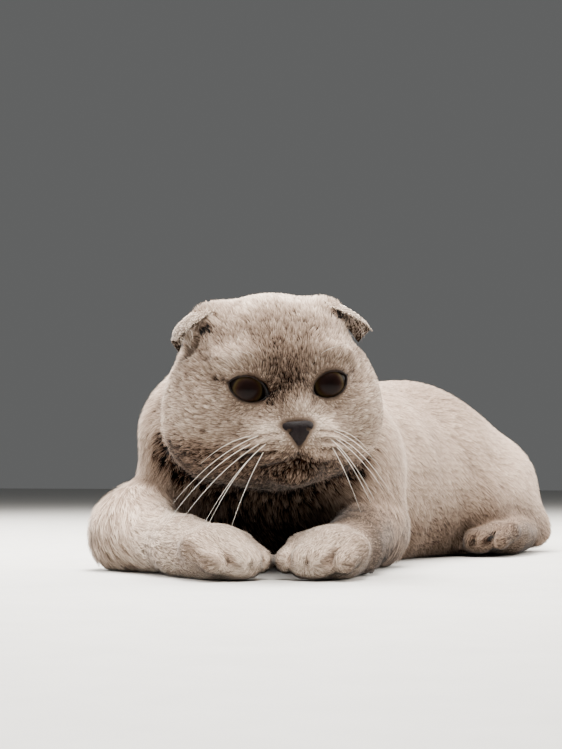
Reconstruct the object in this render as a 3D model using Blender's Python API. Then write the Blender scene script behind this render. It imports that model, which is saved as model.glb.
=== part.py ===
"""A Scottish fold cat lying on its belly, life size, as a still model.

The frame is in metres with +Z up. The floor is z = 0, the spine runs along Y with the tail at +Y,
and the cat's left side is +X. The head and the fore part are turned to the cat's left.

The flesh is a set of masses, such as the skull or a forearm, blended where they meet. skin_mesh()
lays a surface over them. Each node takes the share of that surface that lies between a few planes,
or in an oval for the hind legs, and seams of SEAM width part the nodes. Eye sockets, lids, mouth and
nostrils are cut into the head, and each folded ear is a thick sheet that bends over its own crest.
"""
import bpy
import bmesh
import math
import numpy as np
from mathutils import Matrix, Vector

# Driving sizes of the whole cat
SEAM = 0.0003
WELD = 0.000004
CHEST_HALF_WIDTH = 0.055
BELLY_HALF_WIDTH = 0.066
BACK_HEIGHT = 0.114
RUMP_HALF_WIDTH = 0.057
LOIN_HEIGHT = 0.113
RUMP_HEIGHT = 0.091
# The middle of the cat's length and width, which becomes the origin
CAT_MIDDLE = (-0.00705, -0.01715, 0.0)

# Head: its place, how far it is turned, and its half sizes
HEAD_CENTRE = (0.0397, -0.1885, 0.0946)
HEAD_TURN = math.radians(43.7)
HEAD_NOD = math.radians(3.0)
HEAD_TILT = math.radians(-4.0)
SKULL_HALF_WIDTH = 0.0500
SKULL_HALF_LENGTH = 0.0480
SKULL_HALF_HEIGHT = 0.0465
CHEEK_HALF_WIDTH = 0.0582

# Eyes and their lids, in the head's frame
EYE_SPACING = 0.0408
EYE_RADIUS = 0.0110
EYE_DEPTH = -0.0325
LID_THICKNESS = 0.0016
EYE_TILT = math.radians(21.0)
EYE_OPENING_LENGTH = 0.0190
UPPER_LID_RISE = 0.0061
LOWER_LID_DROP = 0.0062
OPENING_POINTS = 28
OPENING_FRONT = -0.060
OPENING_BACK = -0.0387

# Nose, mouth and the hollow under each ear, in the head's frame
NOSE_HALF_WIDTH = 0.0090
NOSE_MIDDLE = (0.0, -0.0525, -0.0195)
NOSTRIL_CENTRE = (0.0050, -0.0580, -0.0208)
NOSTRIL_RADII = (0.0022, 0.0030, 0.0011)
NOSTRIL_TURN = 0.45
LIP_PARTING_Z = -0.0335
MOUTH_CORNER = (0.0180, -0.0385)
MOUTH_LINE_RADIUS = 0.0009
PARTING_TOP_Z = -0.0265
MOUTH_BOW = 0.0012
MOUTH_POINTS = 13
EAR_ROOT_CENTRE = (0.0295, 0.0010, 0.0345)
EAR_ROOT_RADII = (0.0130, 0.0105, 0.0118)
EAR_CUP_CENTRE = (0.0455, -0.0030, 0.0215)
EAR_CUP_RADII = (0.0075, 0.0090, 0.0085)

# A folded ear: five places along its base, its crest and its free edge, in the head's frame
EAR_BASE = [
    (0.0240, 0.001, 0.0415), (0.0290, 0.008, 0.0400), (0.0360, 0.011, 0.0345), (0.0435, 0.008, 0.0280),
    (0.0470, 0.002, 0.0205),
]
EAR_CREST = [
    (0.0275, -0.004, 0.0475), (0.0345, 0.001, 0.0472), (0.0442, 0.004, 0.0435), (0.0525, 0.003, 0.0365),
    (0.0545, -0.002, 0.0295),
]
EAR_EDGE = [
    (0.0300, -0.0115, 0.0370), (0.0350, -0.0135, 0.0345), (0.0405, -0.0165, 0.0310),
    (0.0460, -0.0190, 0.0270), (0.0495, -0.0175, 0.0245),
]
EAR_THICKNESS = (0.0036, 0.0014)
EAR_STEPS = (11, 9)
# How far to each side the slope of the sheet is measured, and the share of its thickness at its ends
EAR_SLOPE_REACH = 0.02
EAR_END_SHARE = 0.55

# Bones of the limbs, as points along each limb: x, y, z
FORELEG_LEFT = [(0.034, -0.106, 0.056), (0.050, -0.111, 0.020), (0.082, -0.180, 0.0140)]
FOREPAW_LEFT = [(0.082, -0.180, 0.0140), (0.0885, -0.214, 0.0105), (0.0905, -0.234, 0.0085)]
FORELEG_RIGHT = [(-0.022, -0.152, 0.050), (-0.037, -0.203, 0.0190), (0.018, -0.236, 0.0140)]
FOREPAW_RIGHT = [(0.018, -0.236, 0.0140), (0.046, -0.2475, 0.0110), (0.062, -0.2520, 0.0085)]
HINDLEG_LEFT = [(0.028, 0.110, 0.050), (0.038, 0.042, 0.030), (0.054, 0.110, 0.015)]
HINDPAW_LEFT = [(0.054, 0.110, 0.015), (0.059, 0.055, 0.012), (0.058, 0.018, 0.0095)]
HINDLEG_RIGHT = [(-0.040, 0.110, 0.050), (-0.052, 0.042, 0.030), (-0.067, 0.110, 0.015)]
HINDPAW_RIGHT = [(-0.067, 0.110, 0.015), (-0.073, 0.055, 0.012), (-0.072, 0.018, 0.0095)]
# Paws: radii and spread of the toes, then how the toes leave the palm
FOREPAW_SIZES = (0.0135, 0.0066, 0.0102)
HINDPAW_SIZES = (0.0125, 0.0060, 0.0092)
TOE_LENGTH = 0.014
TOE_DROP = 0.0045
TOE_CURVE = 0.0016
TOE_BLEND = 0.0012
FAN_ROOT = 0.35
FAN_BLEND = 0.004
THIGH_OUTWARD = 0.006
THIGH_DROP = (0.0, -0.026, -0.016)
THIGH_RADII = (0.028, 0.054, 0.033)
TAIL = [
    (-0.002, 0.150, 0.044), (0.002, 0.188, 0.022), (-0.018, 0.217, 0.0145), (-0.064, 0.221, 0.0135),
    (-0.100, 0.188, 0.0125), (-0.113, 0.138, 0.0120), (-0.111, 0.086, 0.0110),
]
TAIL_RADII = [0.026, 0.0180, 0.0155, 0.0145, 0.0138, 0.0130, 0.0110]
TAIL_STEPS = 20

# Steps of the surface, and about how many triangles each kind of node has
HEAD_STEP = 0.00175
NOSE_STEP = 0.0008
PAW_STEP = 0.0015
BODY_STEP = 0.0032
NODE_TRIANGLES = {
    "head": 4200, "neck": 2600, "torso": 3200, "foreleg": 1300, "forepaw": 900,
    "hindleg": 1300, "hindpaw": 620, "tail": 600, "nose": 380,
}

# Colours of the coat, nose and eyes
COAT_COLOUR = (0.42, 0.35, 0.31, 1.0)
NOSE_COLOUR = (0.10, 0.075, 0.075, 1.0)
EYE_COLOUR = (0.10, 0.055, 0.02, 1.0)


# The masses: distances are below zero inside a mass

def turn_matrix(x=0.0, y=0.0, z=0.0):
    """Rotation about Y, then X, then Z."""
    turned = Matrix.Rotation(z, 3, "Z") @ Matrix.Rotation(x, 3, "X") @ Matrix.Rotation(y, 3, "Y")
    return np.array(turned)


def ellipsoid(points, centre, radii, turn=None):
    local = points - np.array(centre)
    if turn is not None:
        local = local @ turn
    radii = np.array(radii)
    reach = np.linalg.norm(local / radii, axis=1)
    slope = np.linalg.norm(local / radii ** 2, axis=1)
    return reach * (reach - 1.0) / np.maximum(slope, 1e-9)


def limb(points, start, end, start_radius, end_radius):
    start, end = np.array(start), np.array(end)
    bone = end - start
    share = np.clip((points - start) @ bone / (bone @ bone), 0.0, 1.0)
    gap = np.linalg.norm(points - start - share[:, None] * bone, axis=1)
    return gap - start_radius - share * (end_radius - start_radius)


def blend(first, second, softness):
    """Smooth union: the crease between two masses is filled over about this width."""
    overlap = np.maximum(softness - np.abs(first - second), 0.0) / softness
    return np.minimum(first, second) - overlap ** 2 * softness / 4.0


def chain(points, joints, radii, softness):
    """Limbs end to end, blended at the joints."""
    distance = limb(points, joints[0], joints[1], radii[0], radii[1])
    for here in range(1, len(joints) - 1):
        piece = limb(points, joints[here], joints[here + 1], radii[here], radii[here + 1])
        distance = blend(distance, piece, softness)
    return distance


def along(places, share):
    """A place on a smooth line through a few places, evenly spaced from 0 to 1."""
    places = np.array(places)
    reach = share * (len(places) - 1)
    here = min(int(reach), len(places) - 2)
    part = reach - here
    before, after = max(here - 1, 0), min(here + 2, len(places) - 1)
    slope_a = (places[here + 1] - places[before]) / (2.0 if here > 0 else 1.0)
    slope_b = (places[after] - places[here]) / (2.0 if after > here + 1 else 1.0)
    return (
        (2 * part ** 3 - 3 * part ** 2 + 1) * places[here] + (part ** 3 - 2 * part ** 2 + part) * slope_a
        + (3 * part ** 2 - 2 * part ** 3) * places[here + 1] + (part ** 3 - part ** 2) * slope_b
    )


def mirrored(points):
    return np.asarray(points) * np.array((-1.0, 1.0, 1.0))


HEAD_ROTATION = turn_matrix(x=HEAD_NOD, y=HEAD_TILT, z=HEAD_TURN)


def to_head(points):
    """From the cat's frame to the head's own frame, whose face looks along -Y."""
    return (points - np.array(HEAD_CENTRE)) @ HEAD_ROTATION


def from_head(points):
    return np.asarray(points) @ HEAD_ROTATION.T + np.array(HEAD_CENTRE)


def face_half(points):
    """The masses on the left half of the head, in the head's frame."""
    jowl = ellipsoid(points, (0.033, 0.005, -0.015), (CHEEK_HALF_WIDTH - 0.033, 0.037, 0.031))
    cheek = ellipsoid(points, (0.0245, -0.0215, -0.0185), (0.0190, 0.0180, 0.0165))
    pad = ellipsoid(points, (0.0096, -0.0468, -0.0268), (0.0122, 0.0122, 0.0094))
    brow = ellipsoid(points, (0.0205, -0.0325, 0.0135), (0.0150, 0.0095, 0.0065))
    lids = ellipsoid(
        points, (EYE_SPACING / 2, EYE_DEPTH, 0.0), (EYE_RADIUS + LID_THICKNESS,) * 3
    )
    root = ellipsoid(points, EAR_ROOT_CENTRE, EAR_ROOT_RADII)
    return jowl, cheek, pad, brow, lids, root


def head_mass(points):
    """The head without its ears, in the head's frame."""
    skull = ellipsoid(
        points, (0.0, 0.004, 0.003), (SKULL_HALF_WIDTH, SKULL_HALF_LENGTH, SKULL_HALF_HEIGHT)
    )
    muzzle = ellipsoid(points, (0.0, -0.0350, -0.0260), (0.0210, 0.0190, 0.0170))
    bridge = limb(points, (0.0, -0.0330, 0.0080), (0.0, -0.0505, -0.0185), 0.0110, 0.0066)
    chin = ellipsoid(points, (0.0, -0.0400, -0.0405), (0.0130, 0.0125, 0.0085))
    throat = ellipsoid(points, (0.0, -0.010, -0.030), (0.034, 0.034, 0.022))
    distance = blend(skull, throat, 0.020)
    sides = [face_half(points), face_half(mirrored(points))]
    for jowl, cheek, pad, brow, lids, root in sides:
        distance = blend(distance, jowl, 0.014)
        distance = blend(distance, cheek, 0.016)
        distance = blend(distance, root, 0.010)
    distance = blend(distance, muzzle, 0.014)
    distance = blend(distance, bridge, 0.010)
    for jowl, cheek, pad, brow, lids, root in sides:
        distance = blend(distance, brow, 0.010)
        distance = blend(distance, lids, 0.005)
    pads = np.minimum(sides[0][2], sides[1][2])
    distance = blend(distance, pads, 0.006)
    return blend(distance, chin, 0.005)


def nose_mass(points):
    """The bare tip of the nose, broad above and narrow below."""
    upper = ellipsoid(points, NOSE_MIDDLE, (NOSE_HALF_WIDTH, 0.0062, 0.0042))
    lower = ellipsoid(points, np.add(NOSE_MIDDLE, (0.0, -0.0004, -0.0045)), (0.0048, 0.0056, 0.0046))
    return blend(upper, lower, 0.0035)


def neck_mass(points):
    ruff = ellipsoid(points, (0.0055, -0.153, 0.072), (0.0645, 0.042, 0.047), turn_matrix(z=HEAD_TURN))
    nape = limb(points, (0.026, -0.172, 0.090), (0.000, -0.105, 0.072), 0.044, 0.044)
    return blend(ruff, nape, 0.020)


def trunk_mass(points):
    chest = ellipsoid(
        points, (-0.002, -0.118, 0.044), (CHEST_HALF_WIDTH, 0.062, 0.062), turn_matrix(z=0.45)
    )
    ribs = ellipsoid(
        points, (-0.010, -0.045, 0.046), (BELLY_HALF_WIDTH, 0.085, BACK_HEIGHT - 0.046)
    )
    loin = ellipsoid(
        points, (-0.010, 0.045, 0.044), (BELLY_HALF_WIDTH, 0.075, LOIN_HEIGHT - 0.044)
    )
    rump = ellipsoid(
        points, (-0.008, 0.104, 0.038), (RUMP_HALF_WIDTH, 0.062, RUMP_HEIGHT - 0.038)
    )
    distance = blend(chest, ribs, 0.036)
    distance = blend(distance, loin, 0.030)
    return blend(distance, rump, 0.030)


def foreleg_mass(points, bones):
    shoulder = ellipsoid(points, bones[0], (0.032, 0.036, 0.036))
    return blend(shoulder, chain(points, bones, (0.027, 0.0235, 0.0140), 0.014), 0.018)


def toes_of(bones, spread):
    """The tips of four toes across the front of a paw, and the way that the paw points."""
    ahead = np.array(bones[2]) - np.array(bones[1])
    ahead /= np.linalg.norm(ahead)
    across = np.cross((0.0, 0.0, 1.0), ahead)
    tips = []
    for place in (-1.5, -0.5, 0.5, 1.5):
        tips.append(np.array(bones[2]) + across * place * spread - ahead * TOE_CURVE * place ** 2)
    return tips, ahead


def paw_mass(points, bones, wrist_radius, toe_radius, spread):
    """A palm that fans out into four toes."""
    palm = chain(points, bones, (wrist_radius, wrist_radius * 0.95, wrist_radius * 0.55), 0.010)
    tips, ahead = toes_of(bones, spread)
    wrist, middle, end = (np.array(place) for place in bones)
    together = None
    for tip in tips:
        root = middle + (wrist - middle) * FAN_ROOT + (tip - end) * FAN_ROOT
        knuckle = tip - ahead * TOE_LENGTH + np.array((0.0, 0.0, TOE_DROP))
        radii = (toe_radius * 1.35, toe_radius * 0.95, toe_radius)
        toe = chain(points, (root, knuckle, tip + ahead * 0.001), radii, FAN_BLEND)
        together = toe if together is None else blend(together, toe, TOE_BLEND)
    return blend(palm, together, FAN_BLEND)


def forepaw_mass(points, bones):
    return paw_mass(points, bones, *FOREPAW_SIZES)


def foreleg_whole(points, leg, paw):
    return blend(foreleg_mass(points, leg), forepaw_mass(points, paw), 0.005)


def hindleg_mass(points, bones):
    hip = np.array(bones[0])
    outward = np.array((math.copysign(THIGH_OUTWARD, hip[0]), 0.0, 0.0))
    thigh = ellipsoid(points, hip + outward + THIGH_DROP, THIGH_RADII)
    return blend(thigh, chain(points, bones, (0.024, 0.021, 0.014), 0.014), 0.016)


def hindpaw_mass(points, bones):
    return paw_mass(points, bones, *HINDPAW_SIZES)


def tail_mass(points):
    """A smooth bent tail, as short limbs end to end."""
    shares = np.linspace(0.0, 1.0, TAIL_STEPS + 1)
    bends = [along(TAIL, share) for share in shares]
    radii = [float(along(TAIL_RADII, share)) for share in shares]
    lengths = [
        limb(points, bends[k], bends[k + 1], radii[k], radii[k + 1]) for k in range(TAIL_STEPS)
    ]
    return np.minimum.reduce(lengths)


def cat_mass(points):
    """The whole cat without its ears and nose, in the cat's frame."""
    distance = blend(trunk_mass(points), tail_mass(points), 0.012)
    for leg, paw in ((HINDLEG_LEFT, HINDPAW_LEFT), (HINDLEG_RIGHT, HINDPAW_RIGHT)):
        distance = blend(distance, hindleg_mass(points, leg), 0.010)
        distance = blend(distance, hindpaw_mass(points, paw), 0.004)
    distance = blend(distance, neck_mass(points), 0.026)
    left = foreleg_whole(points, FORELEG_LEFT, FOREPAW_LEFT)
    right = foreleg_whole(points, FORELEG_RIGHT, FOREPAW_RIGHT)
    distance = blend(distance, np.minimum(left, right), 0.008)
    return blend(distance, head_mass(to_head(points)), 0.007)


# From masses to meshes

def skin_mesh(mass, low, high, step):
    """Points and four-sided faces of the surface where mass is zero, inside the box low to high.

    The box is cut into cubes. Each cube that the surface crosses gets one point, the middle of its
    crossed edges, and each crossed edge gets one face, through the four cubes round it.
    """
    low, high = np.array(low) - step, np.array(high) + step
    counts = np.ceil((high - low) / step).astype(int) + 1
    axes = [low[k] + step * np.arange(counts[k]) for k in range(3)]
    grid = np.stack(np.meshgrid(*axes, indexing="ij"), axis=-1)
    values = mass(grid.reshape(-1, 3)).reshape(counts)
    edge = np.ones(counts, bool)
    edge[1:-1, 1:-1, 1:-1] = False
    values = np.where(edge, np.maximum(values, step / 4), values)
    inside = values < 0.0
    total = np.zeros(tuple(counts - 1) + (3,))
    crossings = np.zeros(tuple(counts - 1))
    faces_on = []
    for axis in range(3):
        first = tuple(slice(0, -1) if k == axis else slice(None) for k in range(3))
        second = tuple(slice(1, None) if k == axis else slice(None) for k in range(3))
        crossed = inside[first] != inside[second]
        share = values[first] / np.where(crossed, values[first] - values[second], 1.0)
        place = grid[first].copy()
        place[..., axis] += share * step
        others = [k for k in range(3) if k != axis]
        for shift_a in (0, 1):
            for shift_b in (0, 1):
                window = [slice(None)] * 3
                for other, shift in zip(others, (shift_a, shift_b)):
                    window[other] = slice(shift, counts[other] - 1 + shift)
                hit = crossed[tuple(window)]
                total[hit] += place[tuple(window)][hit]
                crossings[hit] += 1.0
        faces_on.append((axis, others, crossed, inside[first]))
    used = crossings > 0
    number = np.full(used.shape, -1)
    number[used] = np.arange(used.sum())
    points = total[used] / crossings[used][:, None]
    faces = []
    for axis, others, crossed, starts_inside in faces_on:
        at = np.argwhere(crossed)
        outward = starts_inside[crossed]
        corners = []
        for shift_a, shift_b in ((1, 1), (0, 1), (0, 0), (1, 0)):
            cube = at.copy()
            cube[:, others[0]] -= shift_a
            cube[:, others[1]] -= shift_b
            corners.append(number[tuple(cube.T)])
        quads = np.stack(corners, axis=1)
        turned = outward if axis != 1 else ~outward
        quads[~turned] = quads[~turned][:, ::-1]
        faces.append(quads)
    return points, np.concatenate(faces)


def new_object(name, points, faces, smooth=True):
    mesh = bpy.data.meshes.new(name)
    mesh.from_pydata([tuple(p) for p in points], [], [tuple(int(i) for i in f) for f in faces])
    mesh.validate()
    if smooth:
        mesh.shade_smooth()
    made = bpy.data.objects.new(name, mesh)
    bpy.context.scene.collection.objects.link(made)
    return made


def applied(thing):
    """Replaces an object's mesh by the one its modifiers make, and removes them."""
    graph = bpy.context.evaluated_depsgraph_get()
    mesh = bpy.data.meshes.new_from_object(thing.evaluated_get(graph))
    thing.modifiers.clear()
    thing.data = mesh
    return thing


def add_modifier(thing, kind, **settings):
    modifier = thing.modifiers.new(kind.title(), kind)
    for key, value in settings.items():
        setattr(modifier, key, value)
    return modifier


def clay(name, mass, low, high, step, triangles):
    """An object with the surface of a mass inside a box, in about this many triangles."""
    points, faces = skin_mesh(mass, low, high, step)
    made = new_object(name, points, faces)
    ratio = triangles / (2.0 * len(faces))
    if ratio < 1.0:
        add_modifier(made, "DECIMATE", ratio=ratio)
        applied(made)
    return made


def cut(thing, tool, operation="DIFFERENCE"):
    add_modifier(thing, "BOOLEAN", object=tool, operation=operation, solver="EXACT")
    return applied(thing)


def grown(tool, amount):
    """A copy of a tool, larger by amount all round."""
    copy = bpy.data.objects.new(tool.name + "_grown", tool.data.copy())
    bpy.context.scene.collection.objects.link(copy)
    add_modifier(copy, "DISPLACE", strength=amount, mid_level=0.0)
    return applied(copy)


def largest_body(thing):
    """Joins the points that nearly meet, and keeps an object's largest connected surface."""
    work = bmesh.new()
    work.from_mesh(thing.data)
    bmesh.ops.remove_doubles(work, verts=work.verts, dist=WELD)
    bmesh.ops.dissolve_degenerate(work, edges=work.edges, dist=WELD)
    left = set(work.verts)
    bodies = []
    while left:
        stack = [left.pop()]
        body = set(stack)
        while stack:
            for link in stack.pop().link_edges:
                for vertex in link.verts:
                    if vertex not in body:
                        body.add(vertex)
                        stack.append(vertex)
        left -= body
        bodies.append(body)
    keep = max(bodies, key=len)
    bmesh.ops.delete(work, geom=[v for v in work.verts if v not in keep], context="VERTS")
    work.to_mesh(thing.data)
    work.free()
    return thing


def remove(*things):
    for thing in things:
        bpy.data.objects.remove(thing)


def convex_tool(name, low, high, planes, growth=0.0):
    """A box from low to high, cut by planes: each keeps the side that its normal points to."""
    low, high = Vector(low), Vector(high)
    work = bmesh.new()
    bmesh.ops.create_cube(work, size=1.0)
    for vertex in work.verts:
        for k in range(3):
            vertex.co[k] = low[k] - growth if vertex.co[k] < 0.0 else high[k] + growth
    for place, normal in planes:
        normal = Vector(normal).normalized()
        geometry = work.verts[:] + work.edges[:] + work.faces[:]
        bmesh.ops.bisect_plane(
            work, geom=geometry, plane_co=Vector(place) - normal * growth, plane_no=normal,
            clear_inner=True,
        )
        rim = [edge for edge in work.edges if edge.is_boundary]
        bmesh.ops.contextual_create(work, geom=rim)
    bmesh.ops.recalc_face_normals(work, faces=work.faces)
    mesh = bpy.data.meshes.new(name)
    work.to_mesh(mesh)
    work.free()
    made = bpy.data.objects.new(name, mesh)
    bpy.context.scene.collection.objects.link(made)
    return made


# Segments and rings of the balls that are cut or used as tools
BALL_FACETS = (20, 12)
HAUNCH_FACETS = (28, 16)
CUP_FACETS = (16, 10)
NOSTRIL_FACETS = (12, 8)


def ball(name, radius, facets=BALL_FACETS):
    """A ball at the origin, whose poles lie on Y."""
    work = bmesh.new()
    bmesh.ops.create_uvsphere(work, u_segments=facets[0], v_segments=facets[1], radius=radius)
    bmesh.ops.rotate(work, verts=work.verts, matrix=Matrix.Rotation(math.pi / 2, 3, "X"))
    mesh = bpy.data.meshes.new(name)
    work.to_mesh(mesh)
    work.free()
    mesh.shade_smooth()
    made = bpy.data.objects.new(name, mesh)
    bpy.context.scene.collection.objects.link(made)
    return made


# The regions: the space between planes that each node takes from the flesh

def head_place(x, y, z):
    return tuple(from_head((x, y, z)))


def head_way(x, y, z):
    return tuple(HEAD_ROTATION @ np.array((x, y, z)))


def across_bone(bones, first, share=0.0):
    """A plane across a limb at one of its points, looking to the limb's far end."""
    start, end = np.array(bones[first]), np.array(bones[first + 1])
    return tuple(start + share * (end - start)), tuple(end - start)


def turned_back(plane):
    return plane[0], tuple(-np.array(plane[1]))


NAPE_PLANE = (head_place(0.0, 0.034, 0.0), head_way(0.0, -0.97, 0.24))
CHIN_PLANE = (head_place(0.0, 0.0, -0.0515), head_way(0.0, 0.0, 1.0))
BETWEEN_PAWS = ((0.0735, -0.245, 0.0), (0.99, 0.14, 0.0))
WRIST_LEFT = across_bone(FOREPAW_LEFT, 0, 0.10)
WRIST_RIGHT = across_bone(FOREPAW_RIGHT, 0, 0.10)
TAIL_ROOT = ((0.0, 0.168, 0.03), (0.0, 0.88, -0.47))
TAIL_BEND = ((-0.030, 0.200, 0.0), (-1.0, 0.0, 0.0))
TAIL_TURN = ((-0.100, 0.180, 0.0), (-0.30, -0.95, 0.0))

REGIONS = [
    ("head", (-0.06, -0.30, 0.03), (0.14, -0.08, 0.17), [NAPE_PLANE, CHIN_PLANE]),
    ("neck", (-0.08, -0.26, 0.03), (0.12, -0.06, 0.16), [
        turned_back(NAPE_PLANE), CHIN_PLANE, ((0.004, -0.112, 0.08), (0.35, -0.92, 0.15)),
        (head_place(0.052, 0.034, -0.044), head_way(-0.55, -0.25, 0.80)),
        (head_place(-0.052, 0.034, -0.044), head_way(0.55, -0.25, 0.80)),
    ]),
    ("forepaw_left", (0.04, -0.28, -0.01), (0.13, -0.15, 0.040), [WRIST_LEFT, BETWEEN_PAWS]),
    ("forepaw_right", (-0.01, -0.29, -0.01), (0.10, -0.20, 0.040), [
        WRIST_RIGHT, turned_back(BETWEEN_PAWS),
    ]),
    ("foreleg_left", (0.03, -0.22, -0.01), (0.13, -0.070, 0.064), [
        turned_back(WRIST_LEFT), ((0.034, -0.120, 0.0), (0.894, 0.447, 0.0)),
    ]),
    ("foreleg_right", (-0.09, -0.29, -0.01), (0.06, -0.150, 0.062), [
        turned_back(WRIST_RIGHT), ((-0.026, -0.187, 0.0), (-0.51, -0.86, 0.0)),
    ]),
    ("hindpaw_left", (0.0490, -0.01, -0.01), (0.10, 0.060, 0.0265), []),
    ("hindpaw_right", (-0.12, -0.01, -0.01), (-0.0630, 0.060, 0.0265), []),
    ("hindleg_left", (0.0, 0.0, -0.01), (0.10, 0.170, 0.090), []),
    ("hindleg_right", (-0.12, 0.0, -0.01), (0.0, 0.170, 0.090), []),
    ("tail_tip", (-0.14, 0.05, -0.01), (-0.07, 0.25, 0.04), [TAIL_TURN]),
    ("tail_middle", (-0.13, 0.12, -0.01), (0.0, 0.26, 0.04), [
        TAIL_BEND, turned_back(TAIL_TURN), ((-0.05, 0.185, 0.0), (-0.35, 0.94, 0.0)),
    ]),
    ("tail_base", (-0.06, 0.12, -0.01), (0.06, 0.27, 0.07), [
        TAIL_ROOT, turned_back(TAIL_BEND),
    ]),
]
WHOLE = ("torso", (-0.16, -0.30, -0.01), (0.14, 0.28, 0.17), [])
HAUNCH_CENTRES = {"hindleg_left": (0.066, 0.086, 0.018), "hindleg_right": (-0.080, 0.086, 0.018)}
HAUNCH_RADII = (0.042, 0.074, 0.058)


def region_tool(name, low, high, planes, growth=0.0):
    if name not in HAUNCH_CENTRES:
        return convex_tool(name + "_region", low, high, planes, growth)
    made = ball(name + "_region", 1.0, HAUNCH_FACETS)
    made.data.transform(Matrix.Diagonal([radius + growth for radius in HAUNCH_RADII] + [1.0]))
    made.data.transform(Matrix.Translation(HAUNCH_CENTRES[name]))
    return made


def own_mass(name):
    """The masses that a node is cut from: a forepaw leaves out the other paw beside it."""
    if name == "forepaw_left":
        return lambda points: foreleg_whole(points, FORELEG_LEFT, FOREPAW_LEFT)
    if name == "forepaw_right":
        return lambda points: foreleg_whole(points, FORELEG_RIGHT, FOREPAW_RIGHT)
    return cat_mass


def flesh_nodes():
    """The nodes of flesh, each cut from the skin of the whole cat."""
    steps = {"head": HEAD_STEP, "forepaw": PAW_STEP, "hindpaw": PAW_STEP}
    floor = convex_tool("floor_tool", (-0.5, -0.5, -0.2), (0.5, 0.5, 0.0), [])
    taken = []
    nodes = {}
    for name, low, high, planes in REGIONS + [WHOLE]:
        family = name.split("_")[0]
        step = steps.get(family, BODY_STEP)
        node = clay(name, own_mass(name), low, high, step, NODE_TRIANGLES[family])
        if name != WHOLE[0]:
            region = region_tool(name, low, high, planes)
            cut(node, region, "INTERSECT")
            remove(region)
        for other in taken:
            cut(node, other)
        cut(node, floor)
        nodes[name] = largest_body(node)
        taken.append(region_tool(name, low, high, planes, SEAM))
    remove(floor, *taken)
    return nodes


# The head's details

def on_face(x, z, mass=head_mass):
    """The y at which the face's skin is met from the front, in the head's frame."""
    ways = np.linspace(-0.075, -0.010, 651)
    values = mass(np.stack([np.full_like(ways, x), ways, np.full_like(ways, z)], axis=1))
    return ways[np.argmax(values < 0.0)]


def in_head(thing, centre=(0.0, 0.0, 0.0)):
    """Places an object that was made round a centre in the head's frame."""
    thing.data.transform(Matrix.Translation(centre))
    thing.data.transform(Matrix.Translation(HEAD_CENTRE) @ Matrix(HEAD_ROTATION.tolist()).to_4x4())
    return thing


def lid_opening(side):
    """A prism through the lids in the almond shape of the open eye."""
    outline = []
    half = EYE_OPENING_LENGTH / 2
    for turn in np.linspace(0.0, 2.0 * math.pi, OPENING_POINTS, endpoint=False):
        lift = UPPER_LID_RISE if math.sin(turn) > 0.0 else LOWER_LID_DROP
        out = half * math.cos(turn)
        up = lift * math.sin(turn) * abs(math.sin(turn)) ** 0.25
        outline.append((
            side * (EYE_SPACING / 2 + out * math.cos(EYE_TILT) - up * math.sin(EYE_TILT)),
            out * math.sin(EYE_TILT) + up * math.cos(EYE_TILT),
        ))
    work = bmesh.new()
    rings = [[work.verts.new((x, y, z)) for x, z in outline] for y in (OPENING_FRONT, OPENING_BACK)]
    for near in range(OPENING_POINTS):
        far = (near + 1) % OPENING_POINTS
        work.faces.new((rings[0][near], rings[0][far], rings[1][far], rings[1][near]))
    for ring in rings:
        work.faces.new(ring)
    bmesh.ops.recalc_face_normals(work, faces=work.faces)
    mesh = bpy.data.meshes.new("lid_opening")
    work.to_mesh(mesh)
    work.free()
    made = bpy.data.objects.new("lid_opening", mesh)
    bpy.context.scene.collection.objects.link(made)
    return in_head(made)


def groove(name, places, radius):
    """A rod along places (x, z) on the face, half sunk in the skin."""
    curve = bpy.data.curves.new(name, "CURVE")
    curve.dimensions = "3D"
    curve.bevel_depth = radius
    curve.bevel_resolution = 1
    curve.use_fill_caps = True
    spline = curve.splines.new("POLY")
    spline.points.add(len(places) - 1)
    for point, (x, z) in zip(spline.points, places):
        point.co = (x, on_face(x, z), z, 1.0)
    made = bpy.data.objects.new(name, curve)
    bpy.context.scene.collection.objects.link(made)
    graph = bpy.context.evaluated_depsgraph_get()
    rod = bpy.data.objects.new(name, bpy.data.meshes.new_from_object(made.evaluated_get(graph)))
    remove(made)
    bpy.context.scene.collection.objects.link(rod)
    return in_head(rod)


def mouth_places():
    """The lips' line from corner to corner, lowest at the corners and highest in the middle."""
    corner_x, corner_z = MOUTH_CORNER
    places = []
    for share in np.linspace(-1.0, 1.0, MOUTH_POINTS):
        drop = (corner_z - LIP_PARTING_Z) * abs(share) ** 1.3
        bow = MOUTH_BOW * math.sin(math.pi * abs(share))
        places.append((corner_x * share, LIP_PARTING_Z + drop - bow))
    return places


def bezier(first, middle, last, share):
    return (1 - share) ** 2 * first + 2 * share * (1 - share) * middle + share ** 2 * last


def ear_middle(across, up):
    """The middle of the ear's sheet: across runs along its base, up from the base to the edge."""
    return bezier(along(EAR_BASE, across), along(EAR_CREST, across), along(EAR_EDGE, across), up)


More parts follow.
